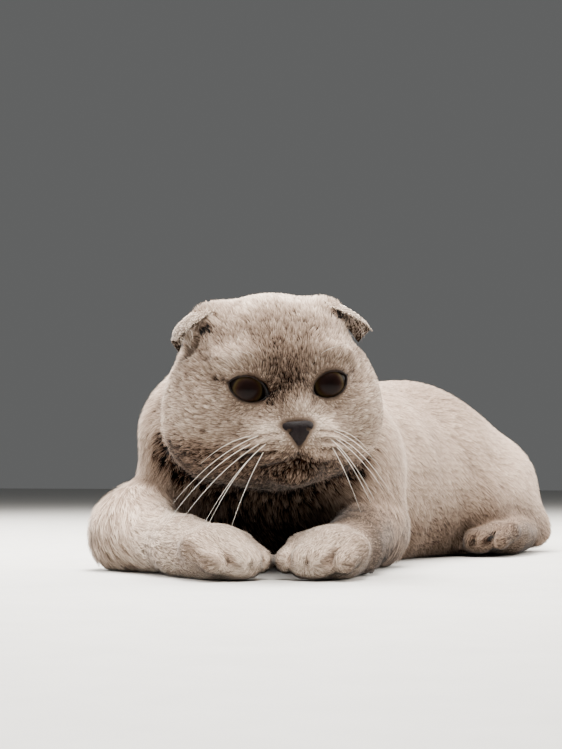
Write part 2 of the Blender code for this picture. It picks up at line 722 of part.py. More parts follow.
def folded_ear(name, side):
    """A sheet that rises from the base and bends forward over its crest, thinner to the edge."""
    columns, rows = EAR_STEPS
    thick, thin = EAR_THICKNESS
    near = EAR_SLOPE_REACH
    outer, inner = {}, {}
    for i in range(columns + 1):
        for j in range(rows + 1):
            across, up = i / columns, j / rows
            place = ear_middle(across, up)
            left, right = max(across - near, 0.0), min(across + near, 1.0)
            low, high = max(up - near, 0.0), min(up + near, 1.0)
            to_side = ear_middle(right, up) - ear_middle(left, up)
            to_edge = ear_middle(across, high) - ear_middle(across, low)
            normal = np.cross(to_side, to_edge)
            normal /= np.linalg.norm(normal)
            roundness = EAR_END_SHARE + (1.0 - EAR_END_SHARE) * math.sin(math.pi * across) ** 0.5
            half = (thick + (thin - thick) * up) / 2 * roundness
            outer[i, j] = place + normal * half
            inner[i, j] = place - normal * half
    work = bmesh.new()
    mirror = np.array((side, 1.0, 1.0))
    sheets = []
    for sheet in (outer, inner):
        sheets.append({key: work.verts.new(Vector(place * mirror)) for key, place in sheet.items()})
    top, bottom = sheets
    for i in range(columns):
        for j in range(rows):
            work.faces.new((top[i, j], top[i + 1, j], top[i + 1, j + 1], top[i, j + 1]))
            work.faces.new((bottom[i, j], bottom[i, j + 1], bottom[i + 1, j + 1], bottom[i + 1, j]))
        for j in (0, rows):
            work.faces.new((top[i, j], bottom[i, j], bottom[i + 1, j], top[i + 1, j]))
    for j in range(rows):
        for i in (0, columns):
            work.faces.new((top[i, j], top[i, j + 1], bottom[i, j + 1], bottom[i, j]))
    bmesh.ops.triangulate(work, faces=work.faces)
    bmesh.ops.recalc_face_normals(work, faces=work.faces)
    mesh = bpy.data.meshes.new(name)
    work.to_mesh(mesh)
    work.free()
    mesh.shade_smooth()
    made = bpy.data.objects.new(name, mesh)
    bpy.context.scene.collection.objects.link(made)
    return in_head(made)


def finish_head(head):
    """Sockets, lids, nose, mouth and ears."""
    made = {}
    skull = grown(head, SEAM)
    for name, side in (("left", 1), ("right", -1)):
        ear = folded_ear("ear_" + name, side)
        cut(ear, skull)
        made["ear_" + name] = largest_body(ear)
        centre = (side * EYE_SPACING / 2, EYE_DEPTH, 0.0)
        socket = in_head(ball("socket", EYE_RADIUS + SEAM), centre)
        cup = ball("ear_cup", 1.0, CUP_FACETS)
        cup.data.transform(Matrix.Diagonal(EAR_CUP_RADII + (1.0,)))
        in_head(cup, Vector(EAR_CUP_CENTRE) * Vector((side, 1.0, 1.0)))
        for tool in (socket, lid_opening(side), cup):
            cut(head, tool)
            remove(tool)
        made["eye_" + name] = in_head(ball("eye_" + name, EYE_RADIUS), centre)
    remove(skull)
    nose = in_head(clay(
        "nose", nose_mass, np.add(NOSE_MIDDLE, -0.012), np.add(NOSE_MIDDLE, 0.012), NOSE_STEP,
        NODE_TRIANGLES["nose"],
    ))
    socket = grown(nose, SEAM)
    for side in (1, -1):
        nostril = ball("nostril", 1.0, NOSTRIL_FACETS)
        nostril.data.transform(Matrix.Diagonal(NOSTRIL_RADII + (1.0,)))
        nostril.data.transform(Matrix.Rotation(side * NOSTRIL_TURN, 4, "Y"))
        in_head(nostril, Vector(NOSTRIL_CENTRE) * Vector((side, 1.0, 1.0)))
        cut(nose, nostril)
        remove(nostril)
    largest_body(nose)
    parting_places = [(0.0, z) for z in np.linspace(PARTING_TOP_Z, LIP_PARTING_Z, 4)]
    parting = groove("parting", parting_places, MOUTH_LINE_RADIUS)
    lips = groove("lips", mouth_places(), MOUTH_LINE_RADIUS)
    for tool in (socket, parting, lips):
        cut(head, tool)
        remove(tool)
    largest_body(head)
    made["nose"] = nose
    return made


def material(name, colour, roughness):
    made = bpy.data.materials.new(name)
    made.use_nodes = True
    shader = made.node_tree.nodes["Principled BSDF"]
    shader.inputs["Base Color"].default_value = colour
    shader.inputs["Roughness"].default_value = roughness
    shader.inputs["Metallic"].default_value = 0.0
    return made


def main():
    for thing in list(bpy.data.objects):
        bpy.data.objects.remove(thing)
    nodes = flesh_nodes()
    nodes.update(finish_head(nodes["head"]))
    finishes = {
        "eye": material("eye", EYE_COLOUR, 0.05), "nose": material("nose", NOSE_COLOUR, 0.45),
    }
    coat = material("coat", COAT_COLOUR, 0.90)
    for name, node in nodes.items():
        node.data.transform(Matrix.Translation(-Vector(CAT_MIDDLE)))
        node.data.materials.clear()
        node.data.materials.append(finishes.get(name.split("_")[0], coat))


main()
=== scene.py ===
"""A Scottish fold cat lying on its belly, life size: skin, coat, eyes, nose and whiskers.

Shapes are made in metres in a frame where the floor is z = 0, the spine runs along Y and the cat's
left side is +X, and new_object() moves them by CAT_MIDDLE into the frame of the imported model. One
skin stands for all the solids of flesh and lies inside them by the depth of the coat. The coat is
made of flat tufts that grow from the skin and follow its lie.
"""
import bpy
import math
import numpy as np
from itertools import product
from mathutils import Matrix, Vector


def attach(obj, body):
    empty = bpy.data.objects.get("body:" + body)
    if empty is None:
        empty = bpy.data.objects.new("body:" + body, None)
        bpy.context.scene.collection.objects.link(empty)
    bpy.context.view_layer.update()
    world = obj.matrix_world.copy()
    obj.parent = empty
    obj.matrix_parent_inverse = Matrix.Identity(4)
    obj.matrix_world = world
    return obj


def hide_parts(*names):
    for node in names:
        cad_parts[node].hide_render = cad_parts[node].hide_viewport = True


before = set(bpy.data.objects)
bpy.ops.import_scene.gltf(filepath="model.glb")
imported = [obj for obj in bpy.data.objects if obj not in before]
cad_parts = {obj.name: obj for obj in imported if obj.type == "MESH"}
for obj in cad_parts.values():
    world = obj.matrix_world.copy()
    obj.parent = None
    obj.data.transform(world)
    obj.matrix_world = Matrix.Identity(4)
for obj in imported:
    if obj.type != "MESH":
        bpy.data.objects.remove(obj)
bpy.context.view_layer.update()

# Driving sizes of the trunk
CHEST_HALF_WIDTH = 0.055
BELLY_HALF_WIDTH = 0.066
BACK_HEIGHT = 0.114
RUMP_HALF_WIDTH = 0.057
LOIN_HEIGHT = 0.113
RUMP_HEIGHT = 0.091
# The middle of the cat's length and width, which becomes the origin
CAT_MIDDLE = (-0.00705, -0.01715, 0.0)

# Head: its place, how far it is turned, and its half sizes
HEAD_CENTRE = (0.0397, -0.1885, 0.0946)
HEAD_TURN = math.radians(43.7)
HEAD_NOD = math.radians(3.0)
HEAD_TILT = math.radians(-4.0)
SKULL_HALF_WIDTH = 0.0500
SKULL_HALF_LENGTH = 0.0480
SKULL_HALF_HEIGHT = 0.0465
CHEEK_HALF_WIDTH = 0.0582

# Eyes and their lids, in the head's frame
EYE_SPACING = 0.0408
EYE_RADIUS = 0.0110
EYE_DEPTH = -0.0325
LID_THICKNESS = 0.0016
EYE_TILT = math.radians(21.0)
EYE_OPENING_LENGTH = 0.0190
UPPER_LID_RISE = 0.0061
LOWER_LID_DROP = 0.0062
SOCKET_DEPTH = 0.0062

# Nose, mouth and the hollow under each ear, in the head's frame
NOSE_HALF_WIDTH = 0.0090
NOSE_MIDDLE = (0.0, -0.0525, -0.0195)
NOSTRIL_CENTRE = (0.0050, -0.0580, -0.0208)
NOSTRIL_TURN = 0.45
SLIT_END = (0.0078, -0.0560, -0.0222)
NOSE_UPPER_RADII = (NOSE_HALF_WIDTH, 0.0062, 0.0042)
NOSE_LOWER_OFFSET = (0.0, -0.0004, -0.0045)
NOSE_STEP = 0.00028
LIP_PARTING_Z = -0.0335
MOUTH_CORNER = (0.0180, -0.0385)
PARTING_TOP_Z = -0.0265
MOUTH_BOW = 0.0012
EAR_ROOT_CENTRE = (0.0295, 0.0010, 0.0345)
EAR_ROOT_RADII = (0.0130, 0.0105, 0.0118)
EAR_CUP_CENTRE = (0.0430, -0.0055, 0.0232)
EAR_CUP_RADII = (0.0088, 0.0105, 0.0085)

# A folded ear: five places along its base, its crest and its free edge, in the head's frame
EAR_BASE = [
    (0.0240, 0.001, 0.0415), (0.0290, 0.008, 0.0400), (0.0360, 0.011, 0.0345), (0.0435, 0.008, 0.0280),
    (0.0470, 0.002, 0.0205),
]
EAR_CREST = [
    (0.0275, -0.004, 0.0475), (0.0345, 0.001, 0.0472), (0.0442, 0.004, 0.0435), (0.0525, 0.003, 0.0365),
    (0.0545, -0.002, 0.0295),
]
EAR_EDGE = [
    (0.0300, -0.0115, 0.0370), (0.0350, -0.0135, 0.0345), (0.0405, -0.0165, 0.0310),
    (0.0460, -0.0190, 0.0270), (0.0495, -0.0175, 0.0245),
]
EAR_THICKNESS = (0.0036, 0.0014)
EAR_LEAST_HALF = 0.00025
EAR_COAT_DEPTH = 0.0007
# The share of the ear's sheet that the skin covers, up to the roots of the hair on its free edge
EAR_REACH = 0.88
# Lines along the shade under the free edge of the cat's left ear, 1, and its right ear, -1
EAR_SHADES = {
    1: [(0.0330, -0.0150, 0.0350), (0.0401, -0.0094, 0.0302), (0.0455, -0.0060, 0.0262)],
    -1: [(0.0349, -0.0168, 0.0297), (0.0420, -0.0120, 0.0225), (0.0468, -0.0076, 0.0181)],
}
# How widely the masses on each side of the head are blended into it
BROAD_BLENDS = (("jowl", 0.014), ("cheek", 0.016), ("ear root", 0.010))
NARROW_BLENDS = (("brow", 0.010), ("lids", 0.005))

# Bones of the limbs, as points along each limb: x, y, z
FORELEG_LEFT = [(0.034, -0.106, 0.056), (0.050, -0.111, 0.020), (0.082, -0.180, 0.0140)]
FOREPAW_LEFT = [(0.082, -0.180, 0.0140), (0.0885, -0.214, 0.0105), (0.0905, -0.234, 0.0085)]
FORELEG_RIGHT = [(-0.022, -0.152, 0.050), (-0.037, -0.203, 0.0190), (0.018, -0.236, 0.0140)]
FOREPAW_RIGHT = [(0.018, -0.236, 0.0140), (0.046, -0.2475, 0.0110), (0.062, -0.2520, 0.0085)]
HINDLEG_LEFT = [(0.028, 0.110, 0.050), (0.038, 0.042, 0.030), (0.054, 0.110, 0.015)]
HINDPAW_LEFT = [(0.054, 0.110, 0.015), (0.059, 0.055, 0.012), (0.058, 0.018, 0.0095)]
HINDLEG_RIGHT = [(-0.040, 0.110, 0.050), (-0.052, 0.042, 0.030), (-0.067, 0.110, 0.015)]
HINDPAW_RIGHT = [(-0.067, 0.110, 0.015), (-0.073, 0.055, 0.012), (-0.072, 0.018, 0.0095)]
# Paws: the radius of the wrist and of the toes and the toes' spread, then how the toes leave the palm
FOREPAW_SIZES = (0.0135, 0.0066, 0.0102)
HINDPAW_SIZES = (0.0125, 0.0060, 0.0092)
TOE_LENGTH = 0.014
TOE_DROP = 0.0045
TOE_CURVE = 0.0016
TOE_BLEND = 0.0045
TOE_TAPER = (1.35, 0.95, 1.0)
TOE_OVERHANG = 0.001
KNUCKLE_BLEND = 0.004
PALM_TAPER = (1.0, 0.95, 0.55)
PALM_BLEND = 0.010
FAN_ROOT = 0.35
FAN_BLEND = 0.009
# The furrows between the toes, as far as PAW_REACH from the paw's end
GROOVE_DEPTH = 0.0022
GROOVE_WIDTH = 0.0017
GROOVE_FRONT = 0.009
GROOVE_BACK = 0.003
PAW_REACH = 0.04
THIGH_OUTWARD = 0.006
THIGH_DROP = (0.0, -0.026, -0.016)
THIGH_RADII = (0.028, 0.054, 0.033)
TAIL = [
    (-0.002, 0.150, 0.044), (0.002, 0.188, 0.022), (-0.018, 0.217, 0.0145), (-0.064, 0.221, 0.0135),
    (-0.100, 0.188, 0.0125), (-0.113, 0.138, 0.0120), (-0.111, 0.086, 0.0110),
]
TAIL_RADII = [0.026, 0.0180, 0.0155, 0.0145, 0.0138, 0.0130, 0.0110]
TAIL_STEPS = 20

# Each limb's name, leg, paw and paw sizes
LIMBS = (
    ("foreleg_left", FORELEG_LEFT, FOREPAW_LEFT, FOREPAW_SIZES),
    ("foreleg_right", FORELEG_RIGHT, FOREPAW_RIGHT, FOREPAW_SIZES),
    ("hindleg_left", HINDLEG_LEFT, HINDPAW_LEFT, HINDPAW_SIZES),
    ("hindleg_right", HINDLEG_RIGHT, HINDPAW_RIGHT, HINDPAW_SIZES),
)
FORELEGS, HINDLEGS = LIMBS[:2], LIMBS[2:]
WRIST_BLEND = 0.014

# Eyeballs: where pupil and iris end, as shares of the radius, the cornea, and where they look
PUPIL = 0.44
IRIS = 0.66
CORNEA_BULGE = 0.0005
CORNEA_ANGLE = math.radians(42.0)
EYE_AXES = {1: (-0.036, -0.999, 0.003), -1: (-0.051, -0.996, -0.067)}
BALL_RINGS = 48
BALL_SEGMENTS = 72
# The dark rims of the lids, and the streaks at an eye's outer corner, 1, and inner corner, -1
LID_STEPS = 72
LID_RADIUS = 0.00042
UPPER_LID_EXTRA = 0.00018
LID_STREAKS = ((1, (0.0022, 0.0009), 0.0004), (-1, (-0.0014, -0.0022), 0.0006))
# The dark lines of the face: how far they are set into the skin, and the sides of their tubes
LINE_INSET = 0.0001
LINE_SIDES = 8

# Lines on the face as places (x, z) from the front, and rows of the whisker pads as x and rise
PARTING = [(0.0, PARTING_TOP_Z), (0.0, LIP_PARTING_Z)]
FOREHEAD_FURROW = [(0.0, 0.010), (0.0, 0.036)]
PRESSED_ROW = ((0.0085, 0.0002), (0.0150, 0.0), (0.0215, -0.0016))
DARK_ROW = ((0.0105, 0.0004), (0.0165, 0.0), (0.0235, -0.0018))
PAD_ROWS = (-0.0225, -0.0265, -0.0305)
# Whiskers: height and start on the pad, fall, and share of the reach
WHISKERS = (
    (-0.0225, 0.0215, 0.10, 0.55), (-0.0225, 0.0185, 0.28, 0.88), (-0.0265, 0.0220, 0.38, 1.00),
    (-0.0265, 0.0190, 0.50, 0.95), (-0.0265, 0.0160, 0.66, 0.84), (-0.0305, 0.0200, 0.86, 0.78),
    (-0.0305, 0.0170, 1.45, 0.74),
)
# Ways outward and forward and reach, on the cat's left, 1, and right, -1
WHISKER_SWEEP = {1: (0.50, -0.90, 0.036), -1: (0.95, -0.25, 0.052)}
BROW_HAIRS = 2
EAR_WISPS = 46

# Camera, stage and lights, in the camera's ground frame: right, ahead and height
CAMERA_LENS = 77.0
CAMERA_OFFSET = (0.062, 1.000)
CAMERA_TURN = math.radians(32.0)
CAMERA_HEIGHT = 0.047
CAMERA_PITCH = math.radians(3.77)
FLOOR_HALF = 6.0
CAT_TARGET = (0.0, 1.0, 0.07)
# Name, place, target, width and height, power and tint of each light
LIGHTS = (
    ("key", (0.10, 0.66, 1.30), CAT_TARGET, (0.6, 0.5), 40.0, (1.0, 0.96, 0.90)),
    ("fill", (-0.9, 0.0, 0.75), CAT_TARGET, (1.2, 0.8), 2.2, (1.0, 0.98, 0.96)),
    ("crown", (-0.06, 1.02, 0.62), (-0.02, 0.88, 0.10), (0.22, 0.22), 13.0, (1.0, 0.97, 0.92)),
    ("rim_top", (0.05, 1.50, 1.00), CAT_TARGET, (0.8, 0.4), 32.0, (1.0, 0.96, 0.90)),
    ("rim_left", (-0.85, 1.55, 0.60), CAT_TARGET, (0.5, 0.7), 40.0, (1.0, 0.97, 0.93)),
    ("rim_right", (0.85, 1.50, 0.65), CAT_TARGET, (0.6, 0.7), 27.0, (1.0, 0.95, 0.89)),
)

# The coat: how far the skin lies inside the solids, its colours, and its grain as places and shares
COAT_DEPTH = 0.0029
FACE_COAT_DEPTH = 0.0008
PAW_COAT_DEPTH = 0.0012
COAT_COLOURS = {"dark": (84, 68, 57), "middle": (158, 137, 121), "pale": (230, 212, 195)}
GRAIN_STOPS = ((0.25, 0.72), (0.55, 1.00), (0.80, 1.18))
BODY_TUFTS = 1.05e6
HEAD_TUFTS = 1.3e6
FACE_TUFTS = 2.3e6
PAW_TUFTS = 1.5e6
# A tuft's five corners: how much paler they are, with darker roots that are partly painted shade between
# the tufts, how far their normals lean to the side, their places on the skin's map in steps of TUFT_PATCH,
# and the corners of its three faces
TUFT_LIFTS = (-0.95, -0.95, -0.25, -0.25, 0.48)
TUFT_ROUNDING = (-0.28, 0.28, -0.28, 0.28, 0.0)
TUFT_MAP = ((-1, -1), (1, -1), (-1, 0), (1, 0), (0, 1))
TUFT_PATCH = 0.0015
TUFT_FACES = np.array((0, 3, 1, 0, 2, 3, 2, 4, 3))
# The share of light that passes through a tuft
TRANSLUCENCE = 0.12
# The ways of the coat on the thighs and shoulders, and the width over which two ways mix
LIE_BLEND = 0.008
THIGH_LIE = (0.0, 0.50, -0.85)
SHOULDER_LIE = (0.0, 0.15, -1.0)
# The most tufts in one piece
PIECE_TUFTS = 60000
# Noise in the tufts' ways and in the coat's tones: amount, size and seed of each layer
SWING = ((0.30, 0.010, 5), (0.25, 0.0042, 6))
BROAD_MOTTLE = ((0.10, 0.040, 1), (0.15, 0.014, 2))
FINE_MOTTLE = ((0.14, 0.0060, 3), (0.14, 0.0022, 4))

# Darker tones: the skin under the tufts, and painted shade on skin and tufts in the ears' openings and on
# the skin of the cups
SKIN_SHADE = 0.25
EAR_SHADE = 1.7
CUP_SHADE = 1.5
# Paler (+) or darker (-) spots: place, amount, whether on both sides, centre in the head's frame, radius;
# some are markings, some painted highlights and painted shade
FACE_TONES = (
    # paler pads, partly a painted highlight where the light from above falls
    ("whisker pads", 1.05, True, (0.0110, -0.051, -0.023), 0.0090),
    # the next two are painted highlights: on the bridge of the nose and on the chin
    ("bridge of the nose", 0.85, False, (0.0025, -0.051, -0.010), 0.0060),
    ("chin", 0.35, True, (0.0, -0.050, -0.0425), 0.0035),
    ("brows", 0.20, True, (0.020, -0.040, 0.014), 0.008),
    ("forehead", -0.40, True, (0.0, -0.038, 0.022), 0.023),
    # the next two are painted shade: between the eyes and on the shaded right side of the bridge
    ("between the eyes", -1.00, False, (-0.0010, -0.049, 0.002), 0.0125),
    ("right of the bridge", -0.25, False, (-0.0090, -0.047, -0.006), 0.0080),
)
# Place, amount, width and line (x, z) on both sides, as seen from the front
EYE_STREAKS = [
    ("inner corner of the eye", -0.60, 0.0013, [(0.0128, -0.0040), (0.0095, -0.0095)]),
    ("outer corner of the eye", -0.55, 0.0010, [(0.0292, 0.0038), (0.0330, 0.0050)]),
]
# Stretches of the forelegs that are paler, partly as a painted highlight from above: the right one from
# the elbow on, and the left paw
PALE_AND_LIT_STRETCHES = (FORELEG_RIGHT[1:], FOREPAW_RIGHT[::2], FOREPAW_LEFT[1:])

# The skin's grid: its steps, fine where the face is, and its box in x, y and z
FINE_STEP = 0.00085
COARSE_STEP = 0.0026
SKIN_BOX = ((-0.135, 0.130), (-0.285, 0.250), (-0.002, 0.152))
FINE_BOX = ((0.018, 0.108), (-0.256, -0.176), (0.044, 0.132))

# Where the lie of the coat starts, and the y that ends the face, for its shape and for its tones
COAT_SOURCE = (0.0, -0.054, -0.0215)
FACE_FRONT = -0.020
FACE_PAINT_FRONT = -0.022
# How far the skin and the tufts stay above the floor
FLOOR_GAP = 0.0004


# The masses: distances are below zero inside a mass

def turn_matrix(x=0.0, y=0.0, z=0.0):
    """Rotation about Y, then X, then Z."""
    turned = Matrix.Rotation(z, 3, "Z") @ Matrix.Rotation(x, 3, "X") @ Matrix.Rotation(y, 3, "Y")
    return np.array(turned)


def ellipsoid(points, centre, radii, turn=None):
    local = points - np.array(centre)
    if turn is not None:
        local = local @ turn
    radii = np.array(radii)
    reach = np.linalg.norm(local / radii, axis=1)
    slope = np.linalg.norm(local / radii ** 2, axis=1)
    return reach * (reach - 1.0) / np.maximum(slope, 1e-9)


def limb(points, start, end, start_radius, end_radius):
    start, end = np.array(start), np.array(end)
    bone = end - start
    share = np.clip((points - start) @ bone / (bone @ bone), 0.0, 1.0)
    gap = np.linalg.norm(points - start - share[:, None] * bone, axis=1)
    return gap - start_radius - share * (end_radius - start_radius)


def blend(first, second, softness):
    """Smooth union: the crease between two masses is filled over about this width."""
    overlap = np.maximum(softness - np.abs(first - second), 0.0) / softness
    return np.minimum(first, second) - overlap ** 2 * softness / 4.0


def chain(points, joints, radii, softness):
    """Limbs end to end, blended at the joints."""
    distance = limb(points, joints[0], joints[1], radii[0], radii[1])
    for here in range(1, len(joints) - 1):
        piece = limb(points, joints[here], joints[here + 1], radii[here], radii[here + 1])
        distance = blend(distance, piece, softness)
    return distance


def along(places, share):
    """A place on a smooth line through a few places, evenly spaced from 0 to 1."""
    places = np.array(places)
    reach = share * (len(places) - 1)
    here = min(int(reach), len(places) - 2)
    part = reach - here
    before, after = max(here - 1, 0), min(here + 2, len(places) - 1)
    slope_a = (places[here + 1] - places[before]) / (2.0 if here > 0 else 1.0)
    slope_b = (places[after] - places[here]) / (2.0 if after > here + 1 else 1.0)
    return (
        (2 * part ** 3 - 3 * part ** 2 + 1) * places[here] + (part ** 3 - 2 * part ** 2 + part) * slope_a
        + (3 * part ** 2 - 2 * part ** 3) * places[here + 1] + (part ** 3 - part ** 2) * slope_b
    )


def mirrored(points):
    return np.asarray(points) * np.array((-1.0, 1.0, 1.0))


HEAD_ROTATION = turn_matrix(x=HEAD_NOD, y=HEAD_TILT, z=HEAD_TURN)


def to_head(points):
    """From the cat's frame to the head's own frame, whose face looks along -Y."""
    return (points - np.array(HEAD_CENTRE)) @ HEAD_ROTATION


def from_head(points):
    return np.asarray(points) @ HEAD_ROTATION.T + np.array(HEAD_CENTRE)


def face_half(points):
    """The masses on the left half of the head, in the head's frame."""
    eye_centre = (EYE_SPACING / 2, EYE_DEPTH, 0.0)
    return {
        "jowl": ellipsoid(points, (0.033, 0.005, -0.015), (CHEEK_HALF_WIDTH - 0.033, 0.037, 0.031)),
        "cheek": ellipsoid(points, (0.0245, -0.0215, -0.0185), (0.0190, 0.0180, 0.0165)),
        "ear root": ellipsoid(points, EAR_ROOT_CENTRE, EAR_ROOT_RADII),
        "brow": ellipsoid(points, (0.0205, -0.0325, 0.0135), (0.0150, 0.0095, 0.0065)),
        "lids": ellipsoid(points, eye_centre, (EYE_RADIUS + LID_THICKNESS,) * 3),
        "pad": ellipsoid(points, (0.0096, -0.0468, -0.0268), (0.0122, 0.0122, 0.0094)),
    }


def head_mass(points):
    """The head without its ears, in the head's frame."""
    skull = ellipsoid(
        points, (0.0, 0.004, 0.003), (SKULL_HALF_WIDTH, SKULL_HALF_LENGTH, SKULL_HALF_HEIGHT)
    )
    muzzle = ellipsoid(points, (0.0, -0.0350, -0.0260), (0.0210, 0.0190, 0.0170))
    bridge = limb(points, (0.0, -0.0330, 0.0080), (0.0, -0.0505, -0.0185), 0.0110, 0.0066)
    chin = ellipsoid(points, (0.0, -0.0400, -0.0405), (0.0130, 0.0125, 0.0085))
    throat = ellipsoid(points, (0.0, -0.010, -0.030), (0.034, 0.034, 0.022))
    distance = blend(skull, throat, 0.020)
    halves = [face_half(points), face_half(mirrored(points))]
    for half, (name, softness) in product(halves, BROAD_BLENDS):
        distance = blend(distance, half[name], softness)
    distance = blend(distance, muzzle, 0.014)
    distance = blend(distance, bridge, 0.010)
    for half, (name, softness) in product(halves, NARROW_BLENDS):
        distance = blend(distance, half[name], softness)
    pads = np.minimum(halves[0]["pad"], halves[1]["pad"])
    distance = blend(distance, pads, 0.006)
    return blend(distance, chin, 0.005)


def nose_mass(points):
    """The bare tip of the nose, broad above and narrow below."""
    upper = ellipsoid(points, NOSE_MIDDLE, (NOSE_HALF_WIDTH, 0.0062, 0.0042))
    lower = ellipsoid(points, np.add(NOSE_MIDDLE, (0.0, -0.0004, -0.0045)), (0.0048, 0.0056, 0.0046))
    return blend(upper, lower, 0.0035)


def neck_mass(points):
    ruff = ellipsoid(points, (0.0055, -0.153, 0.072), (0.0645, 0.042, 0.047), turn_matrix(z=HEAD_TURN))
    nape = limb(points, (0.026, -0.172, 0.090), (0.000, -0.105, 0.072), 0.044, 0.044)
    return blend(ruff, nape, 0.020)


def trunk_mass(points):
    chest = ellipsoid(
        points, (-0.002, -0.118, 0.044), (CHEST_HALF_WIDTH, 0.062, 0.062), turn_matrix(z=0.45)
    )
    ribs = ellipsoid(
        points, (-0.010, -0.045, 0.046), (BELLY_HALF_WIDTH, 0.085, BACK_HEIGHT - 0.046)
    )
    loin = ellipsoid(
        points, (-0.010, 0.045, 0.044), (BELLY_HALF_WIDTH, 0.075, LOIN_HEIGHT - 0.044)
    )
    rump = ellipsoid(
        points, (-0.008, 0.104, 0.038), (RUMP_HALF_WIDTH, 0.062, RUMP_HEIGHT - 0.038)
    )
    distance = blend(chest, ribs, 0.036)
    distance = blend(distance, loin, 0.030)
    return blend(distance, rump, 0.030)


def foreleg_mass(points, bones):
    shoulder = ellipsoid(points, bones[0], (0.032, 0.036, 0.036))
    return blend(shoulder, chain(points, bones, (0.027, 0.0235, 0.0140), 0.014), 0.018)


def toes_of(bones, spread):
    """The tips of four toes across the front of a paw, and the way that the paw points."""
    ahead = np.array(bones[2]) - np.array(bones[1])
    ahead /= np.linalg.norm(ahead)
    across = np.cross((0.0, 0.0, 1.0), ahead)
    tips = []
    for place in (-1.5, -0.5, 0.5, 1.5):
        tips.append(np.array(bones[2]) + across * place * spread - ahead * TOE_CURVE * place ** 2)
    return tips, ahead


def paw_mass(points, bones, wrist_radius, toe_radius, spread):
    """A palm that fans out into four toes."""
    palm = chain(points, bones, [wrist_radius * share for share in PALM_TAPER], PALM_BLEND)
    tips, ahead = toes_of(bones, spread)
    wrist, middle, end = (np.array(place) for place in bones)
    together = None
    for tip in tips:
        root = middle + (wrist - middle) * FAN_ROOT + (tip - end) * FAN_ROOT
        knuckle = tip - ahead * TOE_LENGTH + np.array((0.0, 0.0, TOE_DROP))
        radii = [toe_radius * share for share in TOE_TAPER]
        toe = chain(points, (root, knuckle, tip + ahead * TOE_OVERHANG), radii, KNUCKLE_BLEND)
        together = toe if together is None else blend(together, toe, TOE_BLEND)
    return blend(palm, together, FAN_BLEND)


def hindleg_mass(points, bones):
    hip = np.array(bones[0])
    outward = np.array((math.copysign(THIGH_OUTWARD, hip[0]), 0.0, 0.0))
    thigh = ellipsoid(points, hip + outward + THIGH_DROP, THIGH_RADII)
    return blend(thigh, chain(points, bones, (0.024, 0.021, 0.014), 0.014), 0.016)


def tail_mass(points):
    """A smooth bent tail, as short limbs end to end."""
    shares = np.linspace(0.0, 1.0, TAIL_STEPS + 1)
    bends = [along(TAIL, share) for share in shares]
    radii = [float(along(TAIL_RADII, share)) for share in shares]
    lengths = [
        limb(points, bends[k], bends[k + 1], radii[k], radii[k + 1]) for k in range(TAIL_STEPS)
    ]
    return np.minimum.reduce(lengths)


def cat_mass(points):
    """The whole cat without its ears and nose, in the cat's frame."""
    distance = blend(trunk_mass(points), tail_mass(points), 0.012)
    for _, leg, paw, sizes in HINDLEGS:
        distance = blend(distance, hindleg_mass(points, leg), 0.010)
        distance = blend(distance, paw_mass(points, paw, *sizes), 0.004)
    distance = blend(distance, neck_mass(points), 0.026)
    left, right = [
        blend(foreleg_mass(points, leg), paw_mass(points, paw, *sizes), WRIST_BLEND)
        for _, leg, paw, sizes in FORELEGS
    ]
    distance = blend(distance, np.minimum(left, right), 0.014)
    return blend(distance, head_mass(to_head(points)), 0.007)


def colour(red, green, blue):
    """A colour of the screen, from 0 to 255, as the linear values that shaders use."""
    shares = np.array((red, green, blue)) / 255.0
    return tuple(np.where(shares < 0.04045, shares / 12.92, ((shares + 0.055) / 1.055) ** 2.4))


def smooth(values):
    """A soft step from 0 to 1."""
    held = np.clip(values, 0.0, 1.0)
    return held * held * (3.0 - 2.0 * held)


def within(gaps, reach, width):
    """1 up to the reach, then a soft step down to 0 over the width."""
    return smooth(1.0 - (gaps - reach) / width)


def fade(gaps, width, power=2):
    """1 where there is no gap, fading to 0 beyond the width, more suddenly for a higher power."""
    return np.exp(-(gaps / width) ** power)


def blob(points, centre, radius):
    """1 at the centre, fading to 0 over about the radius."""
    return fade(np.linalg.norm(points - np.array(centre), axis=-1), radius)


def noise(points, size, seed=0):
    """Smooth random values from -1 to 1 that change over about this size."""
    cells = points / size + seed * 17.31
    base = np.floor(cells).astype(np.int64)
    part = smooth(cells - base)
    total = np.zeros(len(points))
    for corner in product((0, 1), repeat=3):
        place = base + np.array(corner)
        mixed = place[:, 0] * 73856093 ^ place[:, 1] * 19349663 ^ place[:, 2] * 83492791
        mixed = (mixed ^ (mixed >> 13)) * 1274126177 + seed * 7919
        value = ((mixed ^ (mixed >> 16)) & 0xFFFF) / 32767.5 - 1.0
        share = np.where(np.array(corner) == 1, part, 1.0 - part)
        total += value * share.prod(axis=1)
    return total


# The skin inside the coat

def mottle(points, layers):
    """Layers of noise: amount, size and seed of each."""
    return sum(amount * noise(points, size, seed) for amount, size, seed in layers)


def segment_gap(points, start, end):
    return limb(points, start, end, 0.0, 0.0)


def coat_depth(points):
    """How deep the coat is: thin near the nose and on the paws, full on the body."""
    from_nose = np.linalg.norm(to_head(points) - np.add(NOSE_MIDDLE, (0.0, 0.0, 0.002)), axis=1)
    depth = FACE_COAT_DEPTH + (COAT_DEPTH - FACE_COAT_DEPTH) * smooth((from_nose - 0.015) / 0.085)
    nearest = np.minimum.reduce([segment_gap(points, *paw[1:]) for _, _, paw, _ in LIMBS])
    off_paw = smooth((nearest - 0.010) / 0.045)
    return PAW_COAT_DEPTH + (depth - PAW_COAT_DEPTH) * off_paw


def eye_plane(points, side):
    """Places across the eye's opening in the head's frame: along its length and up, from its middle."""
    x = side * points[:, 0] - EYE_SPACING / 2
    z = points[:, 2]
    along_eye = x * math.cos(EYE_TILT) + z * math.sin(EYE_TILT)
    up_eye = -x * math.sin(EYE_TILT) + z * math.cos(EYE_TILT)
    return along_eye, up_eye


